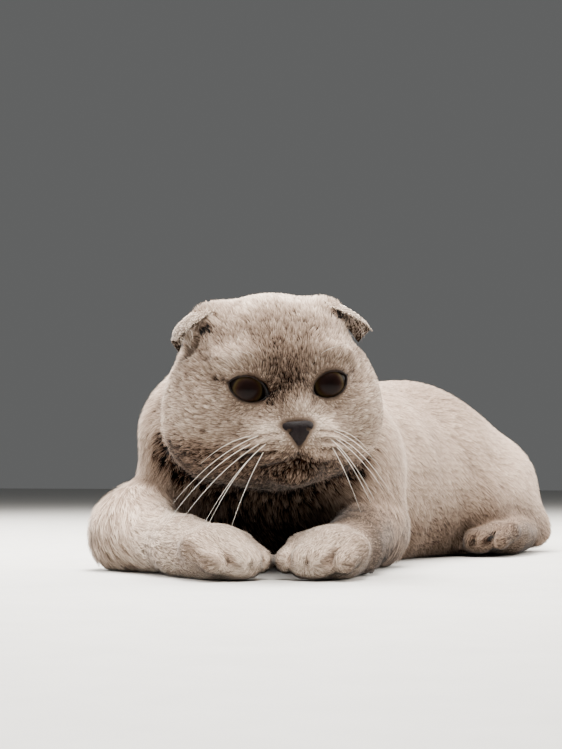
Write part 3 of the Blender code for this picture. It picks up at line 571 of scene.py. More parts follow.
def eye_opening(points, side, margin=0.0):
    """Below zero inside the almond between the lids, seen from the front of the head."""
    along_eye, up_eye = eye_plane(points, side)
    half = EYE_OPENING_LENGTH / 2 + margin
    lift = np.where(up_eye > 0.0, UPPER_LID_RISE, LOWER_LID_DROP) + margin
    bound = lift * np.clip(1.0 - (along_eye / half) ** 2, 0.0, 1.0) ** 0.625
    return np.maximum(np.abs(up_eye) - bound, np.abs(along_eye) - half)


def mouth_places(count=25):
    """The lips' line from corner to corner, lowest at the corners and highest in the middle."""
    corner_x, corner_z = MOUTH_CORNER
    places = []
    for share in np.linspace(-1.0, 1.0, count):
        drop = (corner_z - LIP_PARTING_Z) * abs(share) ** 1.3
        bow = MOUTH_BOW * math.sin(math.pi * abs(share))
        places.append((corner_x * share, LIP_PARTING_Z + drop - bow))
    return places


def folded(local):
    """Both halves of the head laid over each other: x without its sign."""
    return np.column_stack((np.abs(local[:, 0]), local[:, 1:]))


def pad_line(z, row):
    """Places (x, z) along a row of the whisker pad."""
    return [(x, z + rise) for x, rise in row]


def flat_gap(points, places):
    """The gap to a line through places (x, z), seen from the front of the head."""
    flat = points * np.array((1.0, 0.0, 1.0))
    spots = [(x, 0.0, z) for x, z in places]
    return np.minimum.reduce([segment_gap(flat, a, b) for a, b in zip(spots, spots[1:])])


def toe_grooves(points, paw, spread):
    """The gap to the furrows between the toes of a paw."""
    tips, ahead = toes_of(paw, spread)
    gaps = []
    for first, second in zip(tips, tips[1:]):
        middle = (first + second) / 2
        back = middle - ahead * GROOVE_BACK + (0.0, 0.0, TOE_DROP)
        gaps.append(segment_gap(points, middle + ahead * GROOVE_FRONT, back))
    return np.minimum.reduce(gaps)


def skin_mass(points):
    """The skin without its ears, in the cat's frame."""
    distance = cat_mass(points) + coat_depth(points)
    local = to_head(points)
    front = local[:, 1] < FACE_FRONT
    if front.any():
        near = local[front]
        sided = folded(near)
        furrows = [(near, mouth_places(9), 0.0011, 0.0011), (near, PARTING, 0.0010, 0.0009)]
        furrows += [(sided, pad_line(z, PRESSED_ROW), 0.0009, 0.0009) for z in PAD_ROWS]
        furrows += [(near, FOREHEAD_FURROW, 0.0006, 0.0035)]
        distance[front] += sum(
            depth * fade(flat_gap(places, line), width) for places, line, depth, width in furrows
        )
        for side in (1, -1):
            hole = np.maximum(eye_opening(near, side), near[:, 1] - EYE_DEPTH + SOCKET_DEPTH)
            distance[front] = np.maximum(distance[front], -hole)
    for side in (1, -1):
        cup = ellipsoid(local, np.multiply(EAR_CUP_CENTRE, (side, 1, 1)), EAR_CUP_RADII)
        distance = -blend(-distance, cup, 0.003)
    for _, _, paw, sizes in LIMBS:
        close = np.linalg.norm(points - np.array(paw[2]), axis=1) < PAW_REACH
        if close.any():
            grooves = fade(toe_grooves(points[close], paw, sizes[2]), GROOVE_WIDTH)
            distance[close] += GROOVE_DEPTH * grooves
    return np.maximum(distance, FLOOR_GAP - points[:, 2])


def graded_axis(low, high, fine_low, fine_high):
    """Places along one axis of the grid: coarse outside, fine between fine_low and fine_high."""
    parts = []
    stops = (low, fine_low, fine_high, high)
    for start, end, step in zip(stops, stops[1:], (COARSE_STEP, FINE_STEP, COARSE_STEP)):
        if end > start:
            parts.append(np.linspace(start, end, max(2, round((end - start) / step) + 1))[:-1])
    return np.append(np.concatenate(parts), high)


def grid_values(mass, axes, block=6):
    """The mass at every place of the grid, worked out in full only near the surface."""
    counts = [len(axis) for axis in axes]
    starts = [np.arange(0, count, block) for count in counts]
    middles, widths = [], []
    for axis, start in zip(axes, starts):
        last = np.minimum(start + block, len(axis) - 1)
        middles.append((axis[start] + axis[last]) / 2)
        widths.append(axis[last] - axis[start])
    centres = np.stack(np.meshgrid(*middles, indexing="ij"), axis=-1).reshape(-1, 3)
    reach = np.linalg.norm(np.stack(np.meshgrid(*widths, indexing="ij"), axis=-1), axis=-1) / 2
    rough = mass(centres).reshape([len(middle) for middle in middles])
    close = np.abs(rough) < reach * 1.4 + 0.004
    for axis in range(3):
        rough = rough.repeat(block, axis)
        close = close.repeat(block, axis)
    window = tuple(slice(0, count) for count in counts)
    values, close = rough[window].copy(), close[window]
    grid = np.stack(np.meshgrid(*axes, indexing="ij"), axis=-1)
    for part in np.array_split(np.flatnonzero(close), 12):
        places = grid.reshape(-1, 3)[part]
        values.reshape(-1)[part] = mass(places)
    return grid, values


def skin_mesh(mass, axes):
    """Points and four-sided faces of the surface where mass is zero, on a grid along three axes.

    Each box of the grid that the surface crosses gets one point, the middle of its crossed edges,
    and each crossed edge gets one face, through the four boxes round it.
    """
    counts = np.array([len(axis) for axis in axes])
    grid, values = grid_values(mass, axes)
    edge = np.ones(counts, bool)
    edge[1:-1, 1:-1, 1:-1] = False
    values = np.where(edge, np.maximum(values, COARSE_STEP / 4), values)
    inside = values < 0.0
    total = np.zeros(tuple(counts - 1) + (3,))
    crossings = np.zeros(tuple(counts - 1))
    faces_on = []
    for axis in range(3):
        first = tuple(slice(0, -1) if k == axis else slice(None) for k in range(3))
        second = tuple(slice(1, None) if k == axis else slice(None) for k in range(3))
        crossed = inside[first] != inside[second]
        share = values[first] / np.where(crossed, values[first] - values[second], 1.0)
        place = grid[first] + share[..., None] * (grid[second] - grid[first])
        others = [k for k in range(3) if k != axis]
        for shifts in product((0, 1), repeat=2):
            window = [slice(None)] * 3
            for other, shift in zip(others, shifts):
                window[other] = slice(shift, counts[other] - 1 + shift)
            hit = crossed[tuple(window)]
            total[hit] += place[tuple(window)][hit]
            crossings[hit] += 1.0
        faces_on.append((axis, others, crossed, inside[first]))
    used = crossings > 0
    number = np.full(used.shape, -1)
    number[used] = np.arange(used.sum())
    points = total[used] / crossings[used][:, None]
    faces = []
    for axis, others, crossed, starts_inside in faces_on:
        at = np.argwhere(crossed)
        outward = starts_inside[crossed]
        corners = []
        for shift_a, shift_b in ((1, 1), (0, 1), (0, 0), (1, 0)):
            cube = at.copy()
            cube[:, others[0]] -= shift_a
            cube[:, others[1]] -= shift_b
            corners.append(number[tuple(cube.T)])
        quads = np.stack(corners, axis=1)
        turned = outward if axis != 1 else ~outward
        quads[~turned] = quads[~turned][:, ::-1]
        faces.append(quads)
    return points, np.concatenate(faces)


def bezier(first, middle, last, share):
    return (1 - share) ** 2 * first + 2 * share * (1 - share) * middle + share ** 2 * last


def ear_middle(across, up):
    """The middle of the ear's sheet: across runs along its base, up from the base to the edge."""
    return bezier(along(EAR_BASE, across), along(EAR_CREST, across), along(EAR_EDGE, across), up)


def ear_sheet(side, columns=40, rows=40):
    """Points, faces and the lie of the hair on a folded ear, in the cat's frame."""
    thick, thin = EAR_THICKNESS
    near = 0.02
    points, lies, faces = [], [], []
    for layer, i, j in product((1, -1), range(columns + 1), range(rows + 1)):
        across, up = i / columns, EAR_REACH * j / rows
        place = ear_middle(across, up)
        left, right = max(across - near, 0.0), min(across + near, 1.0)
        low, high = max(up - near, 0.0), min(up + near, 1.0)
        to_side = ear_middle(right, up) - ear_middle(left, up)
        to_edge = ear_middle(across, high) - ear_middle(across, low)
        normal = np.cross(to_side, to_edge)
        normal /= np.linalg.norm(normal)
        roundness = 0.55 + 0.45 * math.sin(math.pi * across) ** 0.5
        half = (thick + (thin - thick) * up) / 2 * roundness - EAR_COAT_DEPTH
        rim = math.sin(math.pi * min(max(across, near), 1.0 - near)) ** 0.25
        rim *= (1.0 - (j / rows) ** 8) ** 0.5
        points.append(place + layer * normal * max(half, EAR_LEAST_HALF) * (0.15 + 0.85 * rim))
        lies.append(to_edge / np.linalg.norm(to_edge))

    def face(*corners):
        faces.append([(layer * (columns + 1) + i) * (rows + 1) + j for layer, i, j in corners])

    for i in range(columns):
        for j in range(rows):
            face((0, i, j), (0, i + 1, j), (0, i + 1, j + 1), (0, i, j + 1))
            face((1, i, j), (1, i, j + 1), (1, i + 1, j + 1), (1, i + 1, j))
        face((0, i, rows), (0, i + 1, rows), (1, i + 1, rows), (1, i, rows))
        face((0, i, 0), (1, i, 0), (1, i + 1, 0), (0, i + 1, 0))
    for j in range(rows):
        face((0, 0, j), (0, 0, j + 1), (1, 0, j + 1), (1, 0, j))
        face((0, columns, j), (1, columns, j), (1, columns, j + 1), (0, columns, j + 1))
    faces = np.array(faces)
    mirror = np.array((side, 1.0, 1.0))
    placed = from_head(np.array(points) * mirror)
    corners = (placed - placed.mean(axis=0))[faces]
    volume = sum((np.cross(corners[:, 0], corners[:, k]) * corners[:, k + 1]).sum() for k in (1, 2))
    if volume < 0.0:
        faces = faces[:, ::-1]
    return placed, faces, (np.array(lies) * mirror) @ HEAD_ROTATION.T


# Making objects

def new_object(name, points, faces):
    """An object from points and faces of equal numbers of corners, in the cat's frame."""
    points = np.asarray(points, float) - np.array(CAT_MIDDLE)
    faces = np.asarray(faces)
    corners = faces.shape[1]
    mesh = bpy.data.meshes.new(name)
    mesh.vertices.add(len(points))
    mesh.vertices.foreach_set("co", points.astype(np.float32).ravel())
    mesh.loops.add(faces.size)
    mesh.loops.foreach_set("vertex_index", faces.astype(np.int32).ravel())
    mesh.polygons.add(len(faces))
    mesh.polygons.foreach_set("loop_start", np.arange(0, faces.size, corners, dtype=np.int32))
    mesh.update(calc_edges=True)
    mesh.validate()
    mesh.shade_smooth()
    made = bpy.data.objects.new(name, mesh)
    bpy.context.scene.collection.objects.link(made)
    return made


def point_attribute(thing, name, values):
    """Stores a vector, or a colour of four values, for each point of an object's mesh."""
    values = np.asarray(values, np.float32)
    kind, key = ("FLOAT_COLOR", "color") if values.shape[1] == 4 else ("FLOAT_VECTOR", "vector")
    made = thing.data.attributes.new(name, kind, "POINT")
    made.data.foreach_set(key, values.ravel())


def tube(path, radii, sides):
    """Points and faces of a tapered tube along a path."""
    ways = np.gradient(path, axis=0)
    ways /= np.linalg.norm(ways, axis=1)[:, None]
    guide = np.array((0.0, 0.0, 1.0)) if abs(ways[0][2]) < 0.9 else np.array((1.0, 0.0, 0.0))
    points = []
    for place, way, radius in zip(path, ways, radii):
        across = np.cross(guide, way)
        across /= np.linalg.norm(across)
        guide = np.cross(way, across)
        for turn in np.linspace(0.0, 2.0 * math.pi, sides, endpoint=False):
            points.append(place + radius * (math.cos(turn) * across + math.sin(turn) * guide))
    faces = []
    for ring, k in product(range(len(path) - 1), range(sides)):
        start, after = ring * sides, (k + 1) % sides
        faces.append((start + k, start + after, start + sides + after, start + sides + k))
    return np.array(points), np.array(faces)


def head_tubes(name, strands):
    """One object from many tubes: their paths in the head's frame, their radii and their sides."""
    points, faces, offset = [], [], 0
    for path, radii, sides in strands:
        tube_points, tube_faces = tube(from_head(np.array(path)), radii, sides)
        points.append(tube_points)
        faces.append(tube_faces + offset)
        offset += len(tube_points)
    return new_object(name, np.concatenate(points), np.concatenate(faces))


# Materials

def principled(name, roughness, **settings):
    """A new material, its nodes and its shader."""
    made = bpy.data.materials.new(name)
    made.use_nodes = True
    tree = made.node_tree
    shader = tree.nodes["Principled BSDF"]
    shader.inputs["Roughness"].default_value = roughness
    for socket, value in settings.items():
        shader.inputs[socket.replace("_", " ")].default_value = value
    return made, tree, shader


def node(tree, kind, **inputs):
    made = tree.nodes.new(kind)
    for key, value in inputs.items():
        made.inputs[key].default_value = value
    return made


def ramp(tree, factor, stops):
    """A colour ramp fed by a factor: stops are places and colours."""
    made = tree.nodes.new("ShaderNodeValToRGB")
    elements = made.color_ramp.elements
    while len(elements) < len(stops):
        elements.new(0.5)
    for element, (place, tint) in zip(elements, stops):
        element.position = place
        element.color = tuple(tint) + (1.0,)
    tree.links.new(factor, made.inputs["Fac"])
    return made.outputs["Color"]


def texture(tree, coordinates, kind="ShaderNodeTexNoise", **settings):
    """The grey value of a texture at the coordinates."""
    made = node(tree, kind, **settings)
    tree.links.new(coordinates, made.inputs["Vector"])
    return made.outputs["Fac" if "Fac" in made.outputs else "Distance"]


def own_place(tree):
    """The place in the object's own frame."""
    return tree.nodes.new("ShaderNodeTexCoord").outputs["Object"]


def bumped(tree, shader, height, strength, distance):
    """Fine relief from the grey value of a texture."""
    relief = node(tree, "ShaderNodeBump", Strength=strength, Distance=distance)
    tree.links.new(height, relief.inputs["Height"])
    tree.links.new(relief.outputs["Normal"], shader.inputs["Normal"])


def attribute(tree, name, output="Vector"):
    made = tree.nodes.new("ShaderNodeAttribute")
    made.attribute_name = name
    return made.outputs[output]


def mottled_coat(name, darkness, sheen, grain):
    """A material with the coat's colour from the mesh, mottled a little more by fine noise."""
    made, tree, shader = principled(
        name, 0.72, Sheen_Weight=sheen, Sheen_Roughness=0.45, Specular_IOR_Level=0.0
    )
    fine = texture(tree, own_place(tree), Scale=grain, Detail=4.0, Roughness=0.65)
    mixed = tree.nodes.new("ShaderNodeMix")
    mixed.data_type = "RGBA"
    mixed.blend_type = "MULTIPLY"
    mixed.inputs[0].default_value = 1.0
    tree.links.new(attribute(tree, "coat", "Color"), mixed.inputs[6])
    tree.links.new(
        ramp(tree, fine, [(place, (darkness * share,) * 3) for place, share in GRAIN_STOPS]),
        mixed.inputs[7],
    )
    tint = mixed.outputs[2]
    tree.links.new(tint, shader.inputs["Base Color"])
    return made, tree, shader, tint


def tuft_material():
    """The tufts: a share of the light passes through them, and their normals come from the mesh."""
    made, tree, shader, tint = mottled_coat("coat", 1.0, 0.12, 1500.0)
    outward = attribute(tree, "outward")
    through = tree.nodes.new("ShaderNodeBsdfTranslucent")
    both = node(tree, "ShaderNodeMixShader", Fac=TRANSLUCENCE)
    for source, target in (
        (outward, shader.inputs["Normal"]), (outward, through.inputs["Normal"]),
        (tint, through.inputs["Color"]), (shader.outputs[0], both.inputs[1]),
        (through.outputs[0], both.inputs[2]),
        (both.outputs[0], tree.nodes["Material Output"].inputs["Surface"]),
    ):
        tree.links.new(source, target)
    return made


def skin_material():
    made, tree, shader, _ = mottled_coat("skin", 0.55, 0.10, 900.0)
    bumped(tree, shader, texture(tree, own_place(tree), Scale=1400.0), 0.6, 0.0006)
    return made


def nose_material():
    """Dark leather with fine grains, from the place on the nose."""
    made, tree, shader = principled("nose leather", 0.62, Specular_IOR_Level=0.14)
    place = attribute(tree, "local")
    tint = ramp(tree, texture(tree, place, Scale=650.0, Detail=5.0, Roughness=0.6), [
        (0.30, colour(13, 8, 10)), (0.55, colour(21, 14, 16)), (0.80, colour(36, 26, 27)),
    ])
    tree.links.new(tint, shader.inputs["Base Color"])
    bumped(tree, shader, texture(tree, place, "ShaderNodeTexVoronoi", Scale=2300.0), 0.55, 0.0002)
    return made


def eye_material():
    """Pupil, iris with fine rays, and the dark edge, from the place on the eyeball."""
    made, tree, shader = principled(
        "eye", 0.50, Specular_IOR_Level=0.03, Coat_Weight=0.16, Coat_Roughness=0.03, Coat_IOR=1.33
    )
    parts = tree.nodes.new("ShaderNodeSeparateXYZ")
    tree.links.new(attribute(tree, "local"), parts.inputs[0])

    def maths(operation, *values):
        made_node = tree.nodes.new("ShaderNodeMath")
        made_node.operation = operation
        for slot, value in zip(made_node.inputs, values):
            if isinstance(value, float):
                slot.default_value = value
            else:
                tree.links.new(value, slot)
        return made_node.outputs[0]

    x, z = parts.outputs[0], parts.outputs[2]
    radius = maths("SQRT", maths("ADD", maths("MULTIPLY", x, x), maths("MULTIPLY", z, z)))
    rays = tree.nodes.new("ShaderNodeCombineXYZ")
    tree.links.new(maths("MULTIPLY", maths("ARCTAN2", z, x), 9.0), rays.inputs[0])
    tree.links.new(maths("MULTIPLY", radius, 3.5), rays.inputs[1])
    ragged = texture(tree, rays.outputs[0], Scale=1.0, Detail=4.0, Roughness=0.7)
    ragged = maths("MULTIPLY", maths("SUBTRACT", ragged, 0.5), 0.10)
    tint = ramp(tree, maths("ADD", radius, ragged), [
        (0.00, colour(10, 4, 4)), (PUPIL - 0.06, colour(20, 9, 7)), (PUPIL + 0.03, colour(30, 16, 10)),
        (PUPIL + 0.11, colour(42, 30, 15)), (IRIS - 0.05, colour(56, 46, 27)),
        (IRIS, colour(30, 23, 16)), (IRIS + 0.04, colour(12, 8, 7)), (1.00, colour(24, 17, 15)),
    ])
    tree.links.new(tint, shader.inputs["Base Color"])
    bumped(tree, shader, texture(tree, rays.outputs[0], Scale=1.0), 0.12, 0.0002)
    return made


def plain_material(name, dark, light, scale, roughness, detail=4.0, edge=0.35, **settings):
    """Two near colours mixed by noise, dark below the edge and light above 1 - edge."""
    made, tree, shader = principled(name, roughness, **settings)
    factor = texture(tree, own_place(tree), Scale=scale, Detail=detail)
    tint = ramp(tree, factor, [(edge, colour(*dark)), (1.0 - edge, colour(*light))])
    tree.links.new(tint, shader.inputs["Base Color"])
    return made


# The lie and the colours of the coat

def bones():
    """Start, end, radius and lie of each stretch of the limbs and tail."""
    found = []
    for legs, upper in ((FORELEGS, SHOULDER_LIE), (HINDLEGS, THIGH_LIE)):
        for _, leg, paw, _ in legs:
            joints = leg + paw[1:]
            ways = [unit(np.subtract(end, start)) for start, end in zip(joints, joints[1:])]
            ways[0] = unit(np.array(upper))
            found.extend(zip(joints, joints[1:], (0.027, 0.020, 0.013, 0.011), ways))
    bends = [along(TAIL, share) for share in np.linspace(0.0, 1.0, TAIL_STEPS + 1)]
    found.extend((start, end, 0.015, unit(end - start)) for start, end in zip(bends, bends[1:]))
    return found


def unit(vectors):
    return vectors / np.maximum(np.linalg.norm(vectors, axis=-1), 1e-9)[..., None]


def along_skin(ways, normals):
    """Ways turned to lie along the skin."""
    return unit(ways - normals * (ways * normals).sum(axis=1)[:, None])


def lie(points, normals):
    """The way that the coat lies, along the skin."""
    local = to_head(points)
    away = unit(local - np.array(COAT_SOURCE)) + np.array((0.0, 0.25, 0.0))
    for side in (1, -1):
        eye = local - np.array((side * EYE_SPACING / 2, EYE_DEPTH - 0.008, 0.0))
        reach = np.linalg.norm(eye, axis=1)
        away += unit(eye) * (1.3 * fade(reach - 0.009, 0.006))[:, None]
    from_head_centre = unit(points - np.array(HEAD_CENTRE))
    sideways = np.abs(normals[:, 0])[:, None]
    flows = [
        unit(away) @ HEAD_ROTATION.T,
        unit(0.5 * from_head_centre + np.array((0.0, 0.45, -0.65))),
        unit(np.array((0.0, 1.0, 0.0)) + sideways * np.array((0.0, 0.0, -0.75))),
    ]
    gaps = [head_mass(local) - 0.004, neck_mass(points), trunk_mass(points)]
    for start, end, radius, way in bones():
        flows.append(np.broadcast_to(way, points.shape))
        gaps.append(limb(points, start, end, radius, radius) + 0.001)
    gaps = np.stack(gaps, axis=1)
    shares = np.exp(-(gaps - gaps.min(axis=1)[:, None]) / LIE_BLEND)
    total = np.zeros(points.shape)
    for k, flow in enumerate(flows):
        total += flow * shares[:, k, None]
    return along_skin(total, normals)


def fine_share(points):
    """How much the coat is mottled: fully on the head, less on the forelegs, softly elsewhere."""
    on_head = within(head_mass(to_head(points)), 0.004, 0.020)
    stretches = [ends for _, leg, paw, _ in FORELEGS for ends in (leg[1:], paw[::2])]
    gap = np.minimum.reduce([segment_gap(points, *ends) for ends in stretches])
    return 0.38 + 0.62 * np.maximum(on_head, 0.6 * within(gap, 0.020, 0.020))


def coat_tone(points):
    """How pale the coat is at a place, from -1 for dark to 1 for pale: its own mottle and markings, with
    painted highlights where light falls and painted shade where it does not.
    """
    local = to_head(points)
    sided = folded(local)
    front = local[:, 1] < FACE_PAINT_FRONT
    head_gap = head_mass(local)
    off_head = 1.0 - within(head_gap, 0.002, 0.012)
    on_leg = fade(np.minimum.reduce([segment_gap(points, *ends) for ends in PALE_AND_LIT_STRETCHES]), 0.026, 4)
    tone = mottle(points, BROAD_MOTTLE) + mottle(points, FINE_MOTTLE) * fine_share(points)
    for _, amount, on_both, centre, radius in FACE_TONES:
        tone += amount * blob(sided if on_both else local, centre, radius)
    streaks = [("whisker row", -0.85, 0.0008, pad_line(z, DARK_ROW)) for z in PAD_ROWS]
    for _, amount, width, line in streaks + EYE_STREAKS:
        tone += amount * fade(flat_gap(sided, line), width) * front
    # Masks of painted shade: round the mouth under the pads, under the jaw, low on the body, on the back,
    # in the crease under the head and in the furrows between the toes
    mouth = blob(local * np.array((0.45, 0.0, 1.0)), (0.0, 0.0, -0.0372), 0.0036)
    jaw_edge = -0.025 - 0.16 * local[:, 0]
    low = smooth((0.052 - points[:, 2]) / 0.040) * smooth((0.140 - points[:, 1]) / 0.060)
    back = smooth((points[:, 1] + 0.06) / 0.04) * smooth((points[:, 2] - 0.075) / 0.025)
    crease = fade(np.maximum(head_gap, 0.0), 0.007) * smooth((0.004 - local[:, 2]) / 0.020)
    grooves = sum(fade(toe_grooves(points, paw, sizes[2]), 0.0014) for _, _, paw, sizes in LIMBS)
    for _, amount, share in (
        ("rims of the eyes", -0.70, fade(np.maximum(eye_opening(sided, 1), 0.0), 0.0011) * front),
        ("rim of the nose", -0.90, fade(np.maximum(nose_mass(local), 0.0), 0.0008)),
        # painted shade under the overhanging pads, round the mouth
        ("mouth", -0.20, mouth * front),
        # painted highlight on the top of the head, where the light from above falls
        ("crown", 0.55, smooth((local[:, 2] - 0.032) / 0.016) * (1.0 - off_head)),
        # painted shade under the jaw
        ("under the jaw", -1.05, smooth((jaw_edge - local[:, 2]) / 0.013) * (1.0 - off_head)),
        # paler forelegs, partly a painted highlight
        ("forelegs", 0.50, on_leg),
        # painted shade low on the body
        ("low on the body", -0.65, low * (1.0 - on_leg) * off_head),
        # painted shade in the crease under the head
        ("crease under the head", -0.38, crease * off_head),
        # painted shade on the back, which the light reaches less
        ("back", -0.32, back),
        # painted shade in the furrows between the toes
        ("between the toes", -1.20, grooves),
        # painted shade on the chest under the head
        ("chest", -0.70, blob(points, (0.022, -0.175, 0.030), 0.042) * (1.0 - on_leg) * off_head),
    ):
        tone += amount * share
    return tone


def ear_shade(points):
    """1 in the painted shade of the openings under the free edges of the ears, fading to 0 round them."""
    local = to_head(points)
    gaps = []
    for side, line in EAR_SHADES.items():
        sided = local * np.array((side, 1.0, 1.0))
        gaps += [segment_gap(sided, start, end) for start, end in zip(line, line[1:])]
    return fade(np.minimum.reduce(gaps), 0.0040, 4)


def coat_colour(tone):
    """Linear colour, with a full alpha, for a tone from -1 to 1 and a little beyond."""
    dark, middle, pale = [np.array(colour(*COAT_COLOURS[key])) for key in ("dark", "middle", "pale")]
    held = np.clip(tone, -1.7, 1.5)[:, None]
    tints = middle + held * np.where(held < 0.0, middle - dark, pale - middle)
    return np.column_stack((tints, np.ones(len(tints))))


# The tufts

def values_of(items, key, width, kind=np.float32):
    """A row of values for each item of a mesh."""
    values = np.empty(len(items) * width, kind)
    items.foreach_get(key, values)
    return values.reshape(-1, width)


def points_of(thing):
    """An object's points in the cat's frame."""
    return values_of(thing.data.vertices, "co", 3).astype(float) + np.array(CAT_MIDDLE)


def surface_samples(thing, density, seed):
    """Evenly scattered places on a mesh: points, normals, flat places, corners and their shares."""
    mesh = thing.data
    mesh.calc_loop_triangles()
    corners = values_of(mesh.loop_triangles, "vertices", 3, np.int32)
    loops = values_of(mesh.loop_triangles, "loops", 3, np.int32)
    points = points_of(thing)
    normals = values_of(mesh.vertices, "normal", 3).astype(float)
    flat = values_of(mesh.uv_layers["OFBake"].data, "uv", 2)
    a, b, c = (points[corners[:, k]] for k in range(3))
    area = np.linalg.norm(np.cross(b - a, c - a), axis=1) / 2
    weight = area * density((a + b + c) / 3, unit(normals[corners].sum(axis=1)))
    random = np.random.default_rng(seed)
    wanted = int(weight.sum())
    reach = np.cumsum(weight)
    at = (np.arange(wanted) + random.random(wanted)) * reach[-1] / wanted
    chosen = np.searchsorted(reach, at)
    u, v = random.random(wanted), random.random(wanted)
    over = u + v > 1.0
    u[over], v[over] = 1.0 - u[over], 1.0 - v[over]
    shares = np.stack([1.0 - u - v, u, v], axis=1)[:, :, None]
    return (
        (points[corners[chosen]] * shares).sum(axis=1),
        unit((normals[corners[chosen]] * shares).sum(axis=1)),
        (flat[loops[chosen]] * shares).sum(axis=1),
        corners[chosen],
        shares,
    )


def clumped(points, tips, spacing, strength, seed):
    """Draws the tips of neighbouring tufts together, and gives each clump a tone of its own."""
    random = np.random.default_rng(seed)
    cells = np.floor(points / spacing[:, None] + random.random(3)).astype(np.int64)
    level = np.round(spacing * 2000).astype(np.int64)
    key = ((cells[:, 0] * 4001 + cells[:, 1]) * 4001 + cells[:, 2]) * 64 + level
    group = np.unique(key, return_inverse=True)[1].ravel()
    counts = np.bincount(group)
    shift = random.normal(0.0, 0.16, (len(counts), 3))
    centre = np.stack([np.bincount(group, tips[:, k]) / counts for k in range(3)], axis=1)
    target = centre[group] + shift[group] * spacing[:, None]
    pull = (strength * random.uniform(0.4, 1.0, len(points)))[:, None]
    return tips + (target - tips) * pull, random.normal(0.0, 1.0, len(counts))[group]


def coat_density(points, normals):
    """Tufts for each square metre of skin."""
    local = to_head(points)
    from_nose = np.linalg.norm(local - np.array(NOSE_MIDDLE), axis=1)
    on_face = within(from_nose, 0.012, 0.060)
    density = BODY_TUFTS + within(head_mass(local), 0.002, 0.012) * (HEAD_TUFTS + FACE_TUFTS * on_face)
    for _, _, paw, _ in LIMBS:
        density += PAW_TUFTS * within(segment_gap(points, *paw[1:]), 0.010, 0.025)
    on_floor = (points[:, 2] < 0.0012) & (normals[:, 2] < -0.5)
    in_eye = np.minimum(*[eye_opening(local, side, 0.0007) for side in (1, -1)]) < 0.0
    bare = (local[:, 1] < FACE_FRONT) & (in_eye | (nose_mass(local) < 0.0006))
    density[on_floor | bare | (cat_mass(points) > 0.02)] = 0.0
    return density * 1.0


def tuft_sizes(points, depth, on_ear, random):
    """How long the tufts are and how far they rise: less round the eyes and nose and on the ears."""
    local = to_head(points)
    from_eyes = np.minimum(*[
        np.maximum(eye_opening(local, side), np.abs(local[:, 1] - EYE_DEPTH) - 0.016) for side in (1, -1)
    ])
    short = smooth((from_eyes + 0.0002) / 0.006) * 0.75 + 0.25
    short *= 0.35 + 0.65 * smooth(nose_mass(local) / 0.007)
    short[on_ear] *= 0.5
    length = (0.0016 + depth * 2.35) * random.uniform(0.70, 1.20, len(points)) * short
    rise = depth * random.uniform(0.40, 1.00, len(points)) * short
    return length, rise


def tuft_tips(points, normals, way, depth, on_ear, random):
    """Tips of the tufts, swung a little, clumped and held near the skin, their rise and tones."""
    length, rise = tuft_sizes(points, depth, on_ear, random)
    elbow = blob(points, FORELEG_RIGHT[1], 0.045)
    length *= 1.0 + 0.25 * elbow
    swing = mottle(points, SWING) + random.normal(0.0, 0.13, len(points))
    way = way * np.cos(swing)[:, None] + np.cross(normals, way) * np.sin(swing)[:, None]
    tips = points + way * length[:, None] + normals * rise[:, None]
    spacing = np.where(depth > 0.0022, 0.0036, np.where(depth > 0.0013, 0.0023, 0.0016))
    tips, clump_tone = clumped(points, tips, spacing, 0.66 + 0.08 * elbow, 13)
    loose = np.where(on_ear, 0.0, skin_mass(tips) - 0.75 * rise)
    tips -= normals * np.clip(loose, -0.0010, 0.0025)[:, None]
    return tips, rise, clump_tone


def tuft_blades(points, normals, tips, rise, width):
    """Five corners of each tuft, two at the root, two at the bend and the tip, and their normals."""
    bend = points + (tips - points) * 0.5 + normals * (0.14 * rise)[:, None]
    side_way = unit(np.cross(normals, unit(tips - points)))
    sunk = points - normals * 0.0003
    at_root, at_bend = side_way * (width / 2)[:, None], side_way * (width * 0.42)[:, None]
    spots = np.stack([sunk - at_root, sunk + at_root, bend - at_bend, bend + at_bend, tips], axis=1)
    spots[:, :, 2] = np.maximum(spots[:, :, 2], FLOOR_GAP)
    turned = unit(np.cross(side_way, bend - points))
    turned *= np.sign((turned * normals).sum(axis=1))[:, None]
    outward = np.stack([unit(normals * 0.5 + turned * 0.5)] * len(TUFT_ROUNDING), axis=1)
    outward += side_way[:, None, :] * np.array(TUFT_ROUNDING)[None, :, None]
    return spots, outward


def tuft_tints(points, on_ear, clump_tone, random):
    """Colours of the five corners of each tuft, darker at the root, partly as painted shade between the
    tufts, and paler at the tip.
    """
    fine = 0.20 * clump_tone + random.normal(0.0, 0.26, len(points))
    tone = coat_tone(points) + fine * fine_share(points)
    # painted highlight on the ears' tufts, and painted shade in the openings under the ears
    tone += np.where(on_ear, 0.80, -EAR_SHADE * ear_shade(points))
    wrist = np.minimum(*[
        segment_gap(points, leg[2] + 0.4 * np.subtract(leg[1], leg[2]), paw[2])
        for _, leg, paw, _ in FORELEGS
    ])
    contrast = 1.0 - 0.75 * np.maximum(within(wrist, 0.022, 0.020), on_ear)
    return np.stack([coat_colour(tone + lift * contrast) for lift in TUFT_LIFTS], axis=1)


def body_parts(points, on_ear):
    """Names of the parts of the body, and the number of the part that each place is on."""
    parts = {
        "head": head_mass(to_head(points)), "neck": neck_mass(points), "torso": trunk_mass(points),
        "tail": tail_mass(points),
    }
    for name, leg, paw, _ in LIMBS:
        parts[name] = chain(points, leg + paw[1:], (0.027, 0.022, 0.014, 0.012, 0.010), 0.01)
    nearest = np.argmin(np.stack(list(parts.values()), axis=1), axis=1)
    nearest[on_ear] = 0
    return list(parts), nearest


